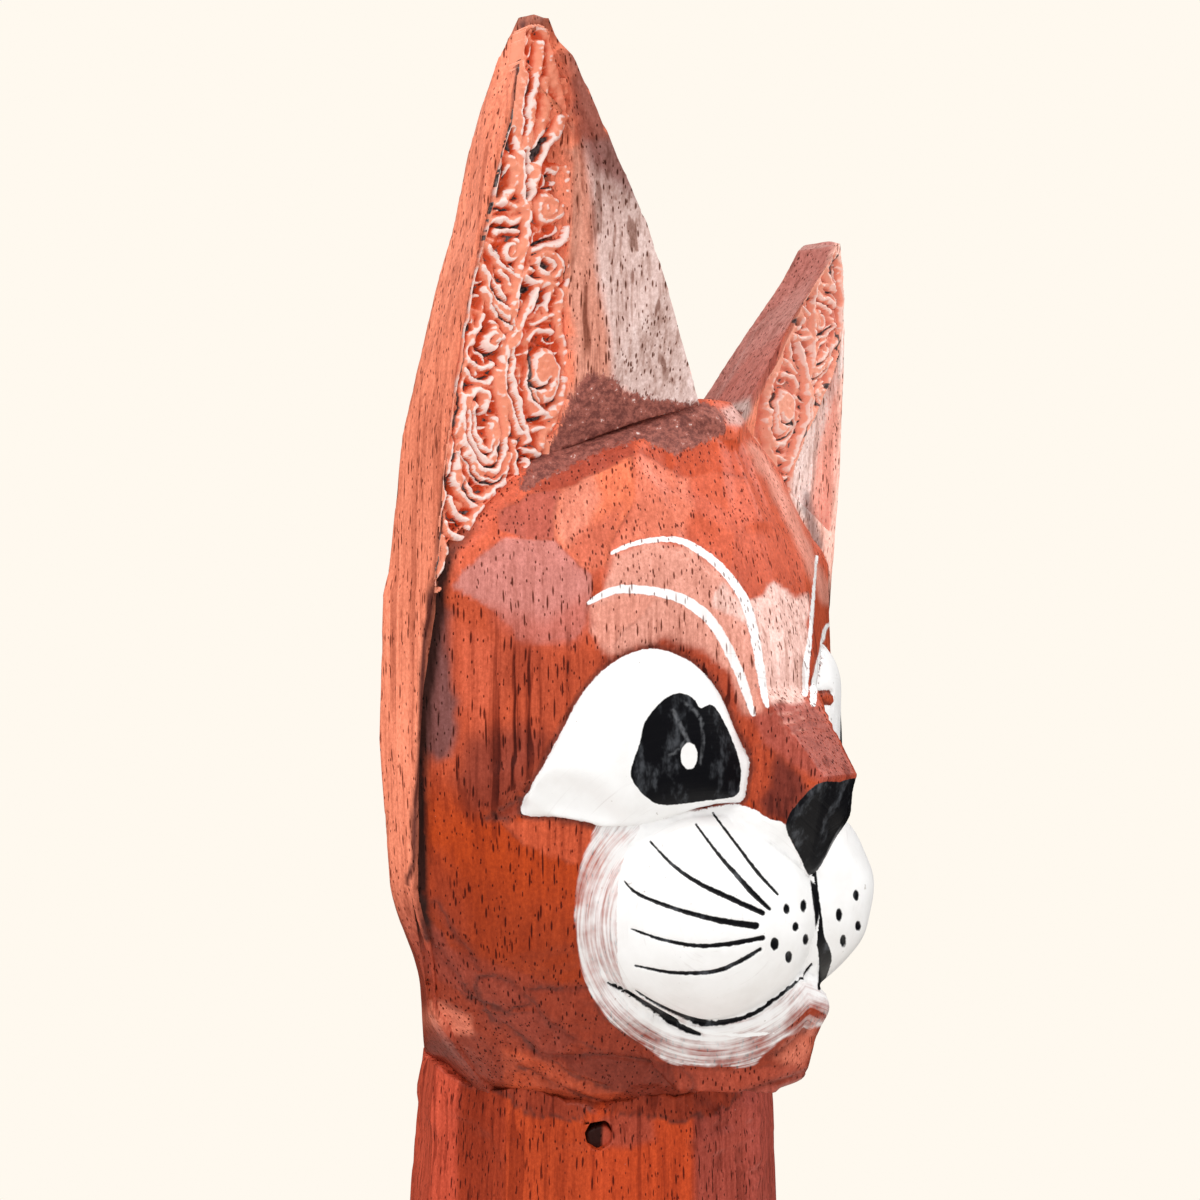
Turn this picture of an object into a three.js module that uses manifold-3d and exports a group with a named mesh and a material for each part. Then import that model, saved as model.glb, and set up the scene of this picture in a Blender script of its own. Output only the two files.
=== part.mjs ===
// Hand-carved wooden cat, seated and tall, glued up from carved blocks.
// Sizes are in millimetres, +Z is up, the cat looks along -Y and its right side is -X.
// The origin is on the table, below the axis of the neck.
import * as THREE from 'three';
import { ConvexGeometry } from 'three/addons/geometries/ConvexGeometry.js';
import { mergeVertices } from 'three/addons/utils/BufferGeometryUtils.js';
import Module from 'manifold-3d';

const wasm = await Module();
wasm.setup();

// Room between pieces
const GLUE_GAP = 0.3;
const DOWEL_FIT = 0.15;
const DOWEL_END = 0.6;

// Seated body: a tapering post with twelve knife-cut sides
const BODY_HEIGHT = 235;
const BODY_SIDES = 12;
const NECK_HALF_WIDTH = 19.3;
const NECK_FRONT = 19.1;
const NECK_BACK = -19.8;
const CHEST_HEIGHT = 150;
const CHEST_HALF_WIDTH = 23;
const CHEST_FRONT = 22;
const CHEST_BACK = -26;
const BELLY_HEIGHT = 80;
const BELLY_HALF_WIDTH = 30;
const BELLY_FRONT = 23;
const BELLY_BACK = -39;
const RUMP_HEIGHT = 34;
const RUMP_HALF_WIDTH = 35;
const RUMP_FRONT = 18;
const RUMP_BACK = -47;
const SEAT_HALF_WIDTH = 33;
const SEAT_FRONT = 16;
const SEAT_BACK = -44;

// Haunches, legs and paws
const HAUNCH_SPREAD = 25;
const HAUNCH_SETBACK = -10;
const HAUNCH_HEIGHT = 38;
const HAUNCH_THICKNESS = 18;
const HAUNCH_LENGTH = 33;
const HAUNCH_RISE = 43;
const LEG_SPREAD = 12.5;
const LEG_HALF_WIDTH = 10;
const LEG_TOP_HALF_WIDTH = 8;
const LEG_TOP_HEIGHT = 130;
const LEG_FRONT = 33;
const LEG_BACK = 10;
const LEG_TOP_FRONT = 16;
const LEG_TOP_BACK = 4;
const PAW_REACH = 34;
const PAW_HALF_WIDTH = 11.5;
const PAW_LENGTH = 16;
const PAW_HEIGHT = 17;
const HIND_PAW_SPREAD = 32;
const HIND_PAW_REACH = 17;
const HIND_PAW_LENGTH = 20;

// Head heights, measured up from the neck joint
const JAW_LEVEL = 0;
const JAWLINE_LEVEL = 10;
const CHEEK_LEVEL = 23;
const EYE_LEVEL = 37;
const BROW_LEVEL = 46;
const FOREHEAD_LEVEL = 55;
const TEMPLE_LEVEL = 62;
const DOME_LEVEL = 67;
const CROWN_LEVEL = 71;

// Half-widths of the head where the face block meets the ear board
const JAW_SIDE = 18;
const JAWLINE_SIDE = 26.5;
const CHEEK_SIDE = 30.2;
const HEAD_SIDE = 31;
const FOREHEAD_SIDE = 30;
const TEMPLE_SIDE = 22;
const DOME_SIDE = 12;
const CROWN_SIDE = 4;

// Ears: how far they rise above the crown, and the cup in front
const RIGHT_EAR_RISE = 34;
const LEFT_EAR_RISE = 19;
const EAR_SHOULDER_DROP = 8;
const EAR_MIDDLE_RISE = 10;
const EAR_CREASE = 17;

// Corners of the flat eye planes
const CHEEKBONE_SIDE = 25;
const CHEEKBONE_FORWARD = 13.2;
const BRIDGE_HALF_WIDTH = 3.5;
const BRIDGE_FORWARD = 26.3;

// Leaning glue seam between the face block and the ear board
const SEAM_FORWARD = 2.72;
const SEAM_SLOPE = 0.116;

// Muzzle lobes, nose and eyes
const LOBE_SPREAD = 5;
const LOBE_FORWARD = 14.5;
const LOBE_LEVEL = 19.6;
const LOBE_HALF_WIDTH = 13;
const LOBE_DEPTH = 16.5;
const LOBE_HALF_HEIGHT = 12.3;
const NOSE_TIP_FORWARD = 32.7;
const NOSE_TIP_LEVEL = 33.4;
const NOSE_HALF_WIDTH = 2.7;
const NOSE_FOOT_FORWARD = 29.2;
const NOSE_FOOT_LEVEL = 23.4;
const EYE_SINK = 0.9;
const EYE_RIM = 0.7;
const EYE_BULGE = 2;

// Flower strips let into the ears
const CARVING_DEPTH = 2.2;

// Dowels and pegs
const NECK_DOWEL_RADIUS = 4;
const NECK_DOWEL_SETBACK = -3.2;
const NECK_DOWEL_REACH = 22;
const NECK_PEG_RADIUS = 1.2;
const NECK_PEG_DROP = 2.2;
const NECK_PEG_RECESS = 0.9;
const NECK_PEG_TURN = 45;
const NECK_PEG_PAST = 6;
const FACE_DOWEL_RADIUS = 3;
const FACE_DOWEL_SPREAD = 12;
const FACE_DOWEL_LEVEL = 29;
const FACE_DOWEL_REACH = 9;

// Tail laid round the right haunch
const TAIL_PAD_CUT = 2;
const TAIL_ROOT_HEIGHT = 24;
const TAIL_ROOT_RADIUS = 9;
const TAIL_TIP_RADIUS = 5.5;
const TAIL_CLEARANCE = 1.5;
const TAIL_DOWEL_RADIUS = 3;
const TAIL_DOWEL_REACH = 9;

const HEAD_BASE = BODY_HEIGHT + GLUE_GAP;

// Small helpers: positions are given as side, forward, up
function at(side, forward, up) {
  return new THREE.Vector3(side, -forward, up);
}

function bothSides(points) {
  return points.flatMap(([side, forward, up]) => [at(side, forward, up), at(-side, forward, up)]);
}

function solid(geometry) {
  const plain = geometry.clone();
  plain.deleteAttribute('normal');
  plain.deleteAttribute('uv');
  const merged = mergeVertices(plain, 1e-4);
  const vertProperties = new Float32Array(merged.attributes.position.array);
  const triVerts = new Uint32Array(merged.index.array);
  const mesh = new wasm.Mesh({ numProp: 3, vertProperties, triVerts });
  mesh.merge();
  return new wasm.Manifold(mesh);
}

function hull(points) {
  return solid(new ConvexGeometry(points));
}

function join(parts) {
  return parts.reduce((whole, part) => whole.add(part));
}

function ball(centre, radii, turn = 0) {
  const geometry = new THREE.SphereGeometry(1, 20, 14);
  geometry.rotateX(Math.PI / 2);
  geometry.scale(radii[0], radii[1], radii[2]);
  geometry.rotateZ(THREE.MathUtils.degToRad(turn));
  geometry.translate(centre.x, centre.y, centre.z);
  return solid(geometry);
}

function rod(from, to, radius) {
  const span = new THREE.Vector3().subVectors(to, from);
  const geometry = new THREE.CylinderGeometry(radius, radius, span.length(), 20);
  const up = new THREE.Vector3(0, 1, 0);
  geometry.applyQuaternion(new THREE.Quaternion().setFromUnitVectors(up, span.clone().normalize()));
  const middle = new THREE.Vector3().addVectors(from, to).multiplyScalar(0.5);
  geometry.translate(middle.x, middle.y, middle.z);
  return solid(geometry);
}

function box(low, high) {
  const geometry = new THREE.BoxGeometry(high.x - low.x, high.y - low.y, high.z - low.z);
  const middle = new THREE.Vector3().addVectors(low, high).multiplyScalar(0.5);
  geometry.translate(middle.x, middle.y, middle.z);
  return solid(geometry);
}

// Skin over a row of rings with equal point counts, closed at both ends by fans
function skin(rings) {
  const count = rings[0].length;
  const positions = rings.flat().flatMap((point) => [point.x, point.y, point.z]);
  const index = [];
  for (let level = 0; level < rings.length - 1; level += 1) {
    for (let k = 0; k < count; k += 1) {
      const a = level * count + k;
      const b = level * count + ((k + 1) % count);
      index.push(a, b, b + count, a, b + count, a + count);
    }
  }
  const last = (rings.length - 1) * count;
  for (let k = 1; k < count - 1; k += 1) {
    index.push(0, k + 1, k);
    index.push(last, last + k, last + k + 1);
  }
  const geometry = new THREE.BufferGeometry();
  geometry.setAttribute('position', new THREE.Float32BufferAttribute(positions, 3));
  geometry.setIndex(index);
  return solid(geometry);
}

// Body block
function bodyRing(level, halfWidth, front, back) {
  const middle = (front + back) / 2;
  const depth = (front - back) / 2;
  const ring = [];
  for (let k = 0; k < BODY_SIDES; k += 1) {
    const angle = ((k + 0.5) / BODY_SIDES) * 2 * Math.PI;
    ring.push(at(halfWidth * Math.cos(angle), middle - depth * Math.sin(angle), level));
  }
  return ring;
}

function legRing(side, level, halfWidth, front, back) {
  const bevel = halfWidth * 0.4;
  return [
    at(side + halfWidth - bevel, front, level),
    at(side + halfWidth, front - bevel, level),
    at(side + halfWidth, back, level),
    at(side - halfWidth, back, level),
    at(side - halfWidth, front - bevel, level),
    at(side - halfWidth + bevel, front, level),
  ];
}

const torso = skin([
  bodyRing(0, SEAT_HALF_WIDTH, SEAT_FRONT, SEAT_BACK),
  bodyRing(RUMP_HEIGHT, RUMP_HALF_WIDTH, RUMP_FRONT, RUMP_BACK),
  bodyRing(BELLY_HEIGHT, BELLY_HALF_WIDTH, BELLY_FRONT, BELLY_BACK),
  bodyRing(CHEST_HEIGHT, CHEST_HALF_WIDTH, CHEST_FRONT, CHEST_BACK),
  bodyRing(BODY_HEIGHT, NECK_HALF_WIDTH, NECK_FRONT, NECK_BACK),
]);

function limbs(side) {
  const haunchCentre = at(side * HAUNCH_SPREAD, HAUNCH_SETBACK, HAUNCH_HEIGHT);
  const haunch = ball(haunchCentre, [HAUNCH_THICKNESS, HAUNCH_LENGTH, HAUNCH_RISE]);
  const leg = skin([
    legRing(side * LEG_SPREAD, 0, LEG_HALF_WIDTH, LEG_FRONT, LEG_BACK),
    legRing(side * LEG_SPREAD, LEG_TOP_HEIGHT, LEG_TOP_HALF_WIDTH, LEG_TOP_FRONT, LEG_TOP_BACK),
  ]);
  const paw = ball(at(side * LEG_SPREAD, PAW_REACH, 0), [PAW_HALF_WIDTH, PAW_LENGTH, PAW_HEIGHT]);
  const hindPaw = ball(
    at(side * HIND_PAW_SPREAD, HIND_PAW_REACH, 0),
    [PAW_HALF_WIDTH, HIND_PAW_LENGTH, PAW_HEIGHT],
  );
  return join([haunch, leg, paw, hindPaw]);
}

// Flat pad on the rump where the root of the tail is glued
const TAIL_PAD = RUMP_BACK + TAIL_PAD_CUT;
const underTable = box(new THREE.Vector3(-200, -200, -200), new THREE.Vector3(200, 200, 0));
const behindPad = box(
  at(-TAIL_ROOT_RADIUS - 4, TAIL_PAD, TAIL_ROOT_HEIGHT - TAIL_ROOT_RADIUS - 3),
  at(TAIL_ROOT_RADIUS + 4, TAIL_PAD - 60, TAIL_ROOT_HEIGHT + TAIL_ROOT_RADIUS + 4),
);

const pegTurn = THREE.MathUtils.degToRad(NECK_PEG_TURN);
const pegLevel = BODY_HEIGHT - NECK_PEG_DROP;
const pegGoal = at(0, NECK_DOWEL_SETBACK, pegLevel);
const pegFace = at(-NECK_HALF_WIDTH * Math.sin(pegTurn), NECK_FRONT * Math.cos(pegTurn), pegLevel);
const pegWay = new THREE.Vector3().subVectors(pegFace, pegGoal).normalize();
const pegHead = pegFace.clone().addScaledVector(pegWay, -NECK_PEG_RECESS);
const pegMouth = pegFace.clone().addScaledVector(pegWay, 3);
const pegEnd = pegGoal.clone().addScaledVector(pegWay, -NECK_PEG_PAST);
const pegStop = pegEnd.clone().addScaledVector(pegWay, -DOWEL_END);

const neckDowelLow = at(0, NECK_DOWEL_SETBACK, BODY_HEIGHT - NECK_DOWEL_REACH);
const neckDowelHigh = at(0, NECK_DOWEL_SETBACK, HEAD_BASE + NECK_DOWEL_REACH);
const neckBoreLow = neckDowelLow.clone().setZ(neckDowelLow.z - DOWEL_END);
const neckBoreHigh = neckDowelHigh.clone().setZ(neckDowelHigh.z + DOWEL_END);
const neckBore = rod(neckBoreLow, neckBoreHigh, NECK_DOWEL_RADIUS + DOWEL_FIT);
const pegBore = rod(pegStop, pegMouth, NECK_PEG_RADIUS + DOWEL_FIT);

const tailRoot = at(0, TAIL_PAD - GLUE_GAP, TAIL_ROOT_HEIGHT);
const tailDowelFront = at(0, TAIL_PAD + TAIL_DOWEL_REACH, TAIL_ROOT_HEIGHT);
const tailDowelBack = at(0, TAIL_PAD - GLUE_GAP - TAIL_DOWEL_REACH, TAIL_ROOT_HEIGHT);
const tailBore = rod(
  at(0, TAIL_PAD + TAIL_DOWEL_REACH + DOWEL_END, TAIL_ROOT_HEIGHT),
  at(0, TAIL_PAD - GLUE_GAP - TAIL_DOWEL_REACH - DOWEL_END, TAIL_ROOT_HEIGHT),
  TAIL_DOWEL_RADIUS + DOWEL_FIT,
);

const bodyBlock = join([torso, limbs(1), limbs(-1)])
  .subtract(underTable)
  .subtract(behindPad)
  .subtract(neckBore)
  .subtract(pegBore)
  .subtract(tailBore);

// Tail: a tapering round bar that leaves the rump and lies round the right haunch
const haunchSide = HAUNCH_SPREAD + HAUNCH_THICKNESS;
const tailSide = -(haunchSide + TAIL_ROOT_RADIUS + TAIL_CLEARANCE - 3);
const tailPath = new THREE.CatmullRomCurve3([
  tailRoot,
  at(0, RUMP_BACK - 6, TAIL_ROOT_HEIGHT),
  at(-13, RUMP_BACK - 13, TAIL_ROOT_HEIGHT - 5),
  at(-33, RUMP_BACK - 5, TAIL_ROOT_RADIUS),
  at(tailSide + 3, HAUNCH_SETBACK - 17, TAIL_ROOT_RADIUS - 1.5),
  at(tailSide, HAUNCH_SETBACK + 8, TAIL_ROOT_RADIUS - 2),
  at(tailSide + 1, HIND_PAW_REACH + 8, TAIL_TIP_RADIUS + 1),
  at(tailSide + 7, HIND_PAW_REACH + 26, TAIL_TIP_RADIUS),
], false, 'centripetal');

function tailBar(steps, sides) {
  const points = tailPath.getPoints(steps);
  const up = new THREE.Vector3(0, 0, 1);
  const rings = points.map((point, k) => {
    const share = k / steps;
    const way = k === 0 ? new THREE.Vector3(0, 1, 0) : tailPath.getTangent(share);
    const across = new THREE.Vector3().crossVectors(way, up).normalize();
    const rise = new THREE.Vector3().crossVectors(across, way).normalize();
    const tip = Math.min(1, (1 - share) * 14 + 0.35);
    const radius = THREE.MathUtils.lerp(TAIL_ROOT_RADIUS, TAIL_TIP_RADIUS, share) * tip;
    const ring = [];
    for (let s = 0; s < sides; s += 1) {
      const angle = -((s + 0.5) / sides) * 2 * Math.PI;
      const spot = point.clone().addScaledVector(across, radius * Math.cos(angle));
      ring.push(spot.addScaledVector(rise, radius * Math.sin(angle)));
    }
    return ring;
  });
  return skin(rings);
}

const tail = tailBar(42, 12).subtract(underTable).subtract(tailBore);

// Head: every level below is measured up from the neck joint
function seam(level) {
  return SEAM_FORWARD + level * SEAM_SLOPE;
}

// Face block. Each row is a level, the side where it meets the seam, the cheek corner
// (side and forward) and the front (half-width of the flat and forward).
function facePoints(grow) {
  const rows = [
    [JAW_LEVEL - grow, JAW_SIDE, [13.4, 12.8], [5, 18.2]],
    [JAWLINE_LEVEL, JAWLINE_SIDE, [21, 13.5], [6, 24.5]],
    [CHEEK_LEVEL, CHEEK_SIDE, [CHEEKBONE_SIDE - 1.5, CHEEKBONE_FORWARD + 0.6], [5, 25]],
    [EYE_LEVEL, HEAD_SIDE, [CHEEKBONE_SIDE, CHEEKBONE_FORWARD], [BRIDGE_HALF_WIDTH, BRIDGE_FORWARD]],
    [BROW_LEVEL, HEAD_SIDE, [CHEEKBONE_SIDE - 2.5, 15], [4, BRIDGE_FORWARD - 0.3]],
    [FOREHEAD_LEVEL, FOREHEAD_SIDE, [15.5, 18.6], [4, BRIDGE_FORWARD - 2.1]],
    [TEMPLE_LEVEL, TEMPLE_SIDE, [11, 18.6], [3.5, BRIDGE_FORWARD - 4.3]],
    [DOME_LEVEL, DOME_SIDE, [6, 18.5], [2.5, BRIDGE_FORWARD - 6.3]],
    [CROWN_LEVEL + grow, CROWN_SIDE, [2.5, 16.5], [1.5, BRIDGE_FORWARD - 8.7]],
  ];
  return bothSides(rows.flatMap(([level, side, cheek, front]) => [
    [side + grow, seam(level) - grow, level],
    [cheek[0] + grow, cheek[1] + grow, level],
    [front[0], front[1] + grow, level],
  ]));
}

const nose = hull(bothSides([
  [BRIDGE_HALF_WIDTH + 1.1, BRIDGE_FORWARD - 1.1, BROW_LEVEL - 3],
  [NOSE_HALF_WIDTH, NOSE_TIP_FORWARD, NOSE_TIP_LEVEL],
  [NOSE_HALF_WIDTH + 1.9, NOSE_TIP_FORWARD - 2.8, NOSE_TIP_LEVEL - 4.4],
  [1, NOSE_FOOT_FORWARD, NOSE_FOOT_LEVEL],
  [7.5, 23, NOSE_TIP_LEVEL - 4],
  [5, 24, NOSE_FOOT_LEVEL],
]));

const jaw = hull(bothSides([
  [3, 29, JAWLINE_LEVEL],
  [9, 22.8, JAWLINE_LEVEL],
  [16, 15.5, JAWLINE_LEVEL],
  [2.5, 25.9, JAW_LEVEL + 1.9],
  [9, 19.4, JAW_LEVEL + 2.3],
  [3, 27.5, JAWLINE_LEVEL + 5],
]));

function lobe(side) {
  const centre = at(side * LOBE_SPREAD, LOBE_FORWARD, LOBE_LEVEL);
  return ball(centre, [LOBE_HALF_WIDTH, LOBE_DEPTH, LOBE_HALF_HEIGHT]);
}

// The eyes are low pads on the planes between the cheekbones and the bridge. The outline
// gives the side and the level of each corner.
const eyePlane = (BRIDGE_FORWARD - CHEEKBONE_FORWARD) / (CHEEKBONE_SIDE - BRIDGE_HALF_WIDTH);
const eyeOutline = [
  [CHEEKBONE_SIDE - 1, EYE_LEVEL - 5.4],
  [CHEEKBONE_SIDE - 4.1, EYE_LEVEL + 1],
  [CHEEKBONE_SIDE - 7.9, EYE_LEVEL + 6.9],
  [CHEEKBONE_SIDE - 12.2, EYE_LEVEL + 8.6],
  [CHEEKBONE_SIDE - 16.1, EYE_LEVEL + 6.5],
  [CHEEKBONE_SIDE - 18.8, EYE_LEVEL + 1.2],
  [CHEEKBONE_SIDE - 20.1, EYE_LEVEL - 2.5],
  [CHEEKBONE_SIDE - 19.3, EYE_LEVEL - 6.2],
  [CHEEKBONE_SIDE - 12.6, EYE_LEVEL - 7.8],
  [CHEEKBONE_SIDE - 7.5, EYE_LEVEL - 8.3],
  [CHEEKBONE_SIDE - 3.3, EYE_LEVEL - 7.2],
];

function eye(side) {
  const tilt = Math.atan(eyePlane);
  const middle = new THREE.Vector2();
  eyeOutline.forEach(([across, level]) => {
    middle.x += across / eyeOutline.length;
    middle.y += level / eyeOutline.length;
  });
  const steps = [[1, -EYE_SINK], [0.97, EYE_RIM], [0.7, EYE_BULGE * 0.8], [0.35, EYE_BULGE]];
  const points = steps.flatMap(([share, lift]) => eyeOutline.map(([across, level]) => {
    const out = THREE.MathUtils.lerp(middle.x, across, share);
    const forward = CHEEKBONE_FORWARD + (CHEEKBONE_SIDE - out) * eyePlane;
    return at(
      side * (out + lift * Math.sin(tilt)),
      forward + lift * Math.cos(tilt),
      THREE.MathUtils.lerp(middle.y, level, share),
    );
  }));
  return hull(points);
}

function faceDowelSpot(side, reach) {
  return at(side * FACE_DOWEL_SPREAD, seam(FACE_DOWEL_LEVEL) + reach, FACE_DOWEL_LEVEL);
}

function faceBore(side) {
  const reach = FACE_DOWEL_REACH + DOWEL_END;
  const radius = FACE_DOWEL_RADIUS + DOWEL_FIT;
  return rod(faceDowelSpot(side, -reach), faceDowelSpot(side, reach), radius);
}

function faceDowel(side) {
  return rod(
    faceDowelSpot(side, -FACE_DOWEL_REACH),
    faceDowelSpot(side, FACE_DOWEL_REACH),
    FACE_DOWEL_RADIUS,
  );
}

const seamBottom = JAW_LEVEL - 30;
const seamTop = CROWN_LEVEL + 60;
const behindSeam = hull(bothSides([
  [80, seam(seamBottom), seamBottom],
  [80, seam(seamTop), seamTop],
  [80, -80, seamBottom],
  [80, -80, seamTop],
]));

const faceCore = hull(facePoints(0));
const faceBlock = join([faceCore, lobe(1), lobe(-1), eye(1), eye(-1), nose, jaw])
  .subtract(behindSeam)
  .subtract(faceBore(1))
  .subtract(faceBore(-1));

// Ear board. Each row is a level with its back corner (side and forward), the side of the
// head and how far forward the edge strip starts; the strip ends at the seam.
const skull = hull(bothSides([
  [[JAW_LEVEL, 13.5, -14], JAW_SIDE, 0.6],
  [[JAWLINE_LEVEL, 13.5, -15.5], JAWLINE_SIDE, 1.8],
  [[CHEEK_LEVEL, 14, -16.5], CHEEK_SIDE, 1.5],
  [[EYE_LEVEL, 14, -16.5], HEAD_SIDE, 0.9],
  [[FOREHEAD_LEVEL - 4, 14, -14], HEAD_SIDE, 1.5],
  [[TEMPLE_LEVEL - 1, 12, -8.5], FOREHEAD_SIDE - 1, 3.2],
].flatMap(([[level, backSide, back], side, strip]) => [
  [backSide, back, level],
  [side, strip, level],
  [side, seam(level), level],
]).concat([[5, -18.2, JAW_LEVEL], [8, 2, DOME_LEVEL], [8, seam(DOME_LEVEL), DOME_LEVEL]])));

// Each ear section runs round from the crease of the cup: inner rim, inner back corner,
// back outer corner, front outer corner. The crease and the front outer corner lie in the
// plane of the seam.
function earRing(side, level, backOuter, frontOuter, crease, rim, innerBack) {
  const ring = [
    at(side * rim[0], rim[1], level),
    at(side * innerBack[0], innerBack[1], level),
    at(side * backOuter[0], backOuter[1], level),
    at(side * frontOuter, seam(level), level),
  ];
  const first = at(side * crease, seam(level), level);
  return [first, ...(side < 0 ? ring : ring.reverse())];
}

const EAR_ROOT = FOREHEAD_LEVEL - 4;
const EAR_FORK = CROWN_LEVEL - 5;
const EAR_MIDDLE = CROWN_LEVEL + EAR_MIDDLE_RISE;
const RIGHT_EAR_TIP = CROWN_LEVEL + RIGHT_EAR_RISE;
const RIGHT_EAR_SHOULDER = RIGHT_EAR_TIP - EAR_SHOULDER_DROP;
const LEFT_EAR_TIP = CROWN_LEVEL + LEFT_EAR_RISE;

// How far a point of the ear lies in from the side of the head
function inFrom(distance) {
  return HEAD_SIDE - distance;
}

const rightEar = skin([
  earRing(-1, EAR_ROOT, [inFrom(0.4), 1.5], HEAD_SIDE, EAR_CREASE, [0.5, 15.4], [3, 2]),
  earRing(-1, EAR_FORK, [inFrom(0.9), 3.3], inFrom(0.3), EAR_CREASE, [0.8, 17.3], [5.5, 3]),
  earRing(-1, EAR_MIDDLE, [inFrom(3.4), 5.6], inFrom(2), EAR_CREASE - 0.4, [9.8, 19.1], [13.5, 8]),
  earRing(-1, RIGHT_EAR_SHOULDER, [inFrom(5.7), 10.5], inFrom(5.2), inFrom(10.8), [18, 16.7], [18.8, 12.4]),
  earRing(-1, RIGHT_EAR_TIP, [inFrom(7), 13.3], inFrom(7.4), inFrom(8.4), [22, 15.2], [22, 13.6]),
]);

const leftEar = skin([
  earRing(1, EAR_ROOT, [inFrom(0.4), 1.5], HEAD_SIDE, EAR_CREASE, [0.5, 15.4], [3, 2]),
  earRing(1, EAR_FORK, [inFrom(1.1), 3.3], inFrom(0.5), EAR_CREASE, [0.8, 17.3], [5.5, 4.5]),
  earRing(1, EAR_MIDDLE, [inFrom(3.2), 6], inFrom(1.9), EAR_CREASE + 0.6, [11, 18.4], [14.5, 9.6]),
  earRing(1, LEFT_EAR_TIP, [inFrom(5), 9.6], inFrom(4.2), inFrom(8.4), [19.4, 18.4], [20.2, 12.6]),
]);

// Outlines of the flower strips, as side and level in the plane of the seam
const rightStrip = [
  [inFrom(7.1), RIGHT_EAR_TIP - 4.5],
  [inFrom(5), RIGHT_EAR_TIP - 12],
  [inFrom(2.7), EAR_MIDDLE + 0.5],
  [inFrom(1.2), CROWN_LEVEL],
  [inFrom(0.8), FOREHEAD_LEVEL + 4],
  [TEMPLE_SIDE + 0.4, TEMPLE_LEVEL + 1.4],
  [EAR_CREASE + 0.9, TEMPLE_LEVEL + 3.9],
  [EAR_CREASE + 0.6, EAR_MIDDLE],
  [inFrom(10.2), RIGHT_EAR_TIP - 9.5],
];
const leftStrip = [
  [inFrom(6), LEFT_EAR_TIP - 2.5],
  [inFrom(2.8), EAR_MIDDLE - 0.5],
  [inFrom(1.6), CROWN_LEVEL],
  [inFrom(1.2), FOREHEAD_LEVEL + 4],
  [TEMPLE_SIDE + 0.4, TEMPLE_LEVEL + 1.4],
  [EAR_CREASE + 0.9, TEMPLE_LEVEL + 3.9],
  [EAR_CREASE + 1.6, EAR_MIDDLE],
  [inFrom(8.4), LEFT_EAR_TIP - 2.5],
];

// A strip of wood behind the plane of the seam, shrunk all round by the room it needs
function earStrip(side, outline, inset, backRoom) {
  const corners = outline.map(([across, level]) => new THREE.Vector2(across, level));
  const middle = new THREE.Vector2();
  corners.forEach((corner) => middle.addScaledVector(corner, 1 / corners.length));
  const shape = new THREE.Shape(corners.map((corner) => {
    const away = corner.clone().sub(middle);
    away.setLength(away.length() - inset * 1.6);
    return new THREE.Vector2(side * (middle.x + away.x), middle.y + away.y);
  }));
  const lift = inset > 0 ? 0 : 4;
  const depth = CARVING_DEPTH - backRoom + lift;
  const geometry = new THREE.ExtrudeGeometry(shape, { depth, bevelEnabled: false });
  geometry.rotateX(Math.PI / 2);
  const spots = geometry.attributes.position;
  for (let k = 0; k < spots.count; k += 1) {
    const level = spots.getZ(k);
    const share = -spots.getY(k);
    spots.setXYZ(k, spots.getX(k), -(seam(level) + lift - depth + share), level);
  }
  return solid(geometry);
}

const headBoard = join([skull, rightEar, leftEar])
  .subtract(hull(facePoints(GLUE_GAP)))
  .subtract(earStrip(-1, rightStrip, 0, 0))
  .subtract(earStrip(1, leftStrip, 0, 0))
  .subtract(faceBore(1))
  .subtract(faceBore(-1))
  .subtract(neckBore.translate(0, 0, -HEAD_BASE));

const neckDowel = rod(neckDowelLow, neckDowelHigh, NECK_DOWEL_RADIUS).subtract(pegBore);
const neckPeg = rod(pegEnd, pegHead, NECK_PEG_RADIUS);

// Wood finishes
function wood(colour, roughness) {
  return new THREE.MeshStandardMaterial({ color: colour, roughness, metalness: 0 });
}

const group = new THREE.Group();

function place(name, manifold, material, height) {
  const found = manifold.getMesh();
  const geometry = new THREE.BufferGeometry();
  geometry.setAttribute('position', new THREE.Float32BufferAttribute(found.vertProperties, 3));
  geometry.setIndex(new THREE.Uint32BufferAttribute(found.triVerts, 1));
  const mesh = new THREE.Mesh(geometry, material);
  mesh.name = name;
  mesh.position.z = height;
  group.add(mesh);
}

place('body_block', bodyBlock, wood(0x9c3a14, 0.45), 0);
place('face_block', faceBlock, wood(0xb54a22, 0.42), HEAD_BASE);
place('ear_board', headBoard, wood(0xc46a50, 0.48), HEAD_BASE);
place('right_ear_carving', earStrip(-1, rightStrip, GLUE_GAP, GLUE_GAP), wood(0xd98a70, 0.6), HEAD_BASE);
place('left_ear_carving', earStrip(1, leftStrip, GLUE_GAP, GLUE_GAP), wood(0xc87a60, 0.6), HEAD_BASE);
place('neck_dowel', neckDowel, wood(0xc9a06a, 0.6), 0);
place('neck_peg', neckPeg, wood(0x7a3a1c, 0.6), 0);
place('right_face_dowel', faceDowel(-1), wood(0xc9a06a, 0.6), HEAD_BASE);
place('left_face_dowel', faceDowel(1), wood(0xc9a06a, 0.6), HEAD_BASE);
place('tail', tail, wood(0x9c3a14, 0.45), 0);
place('tail_dowel', rod(tailDowelFront, tailDowelBack, TAIL_DOWEL_RADIUS), wood(0xc9a06a, 0.6), 0);

export default group;
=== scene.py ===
import math

import bmesh
import bpy
import numpy as np
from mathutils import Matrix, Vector
from mathutils.bvhtree import BVHTree


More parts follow.
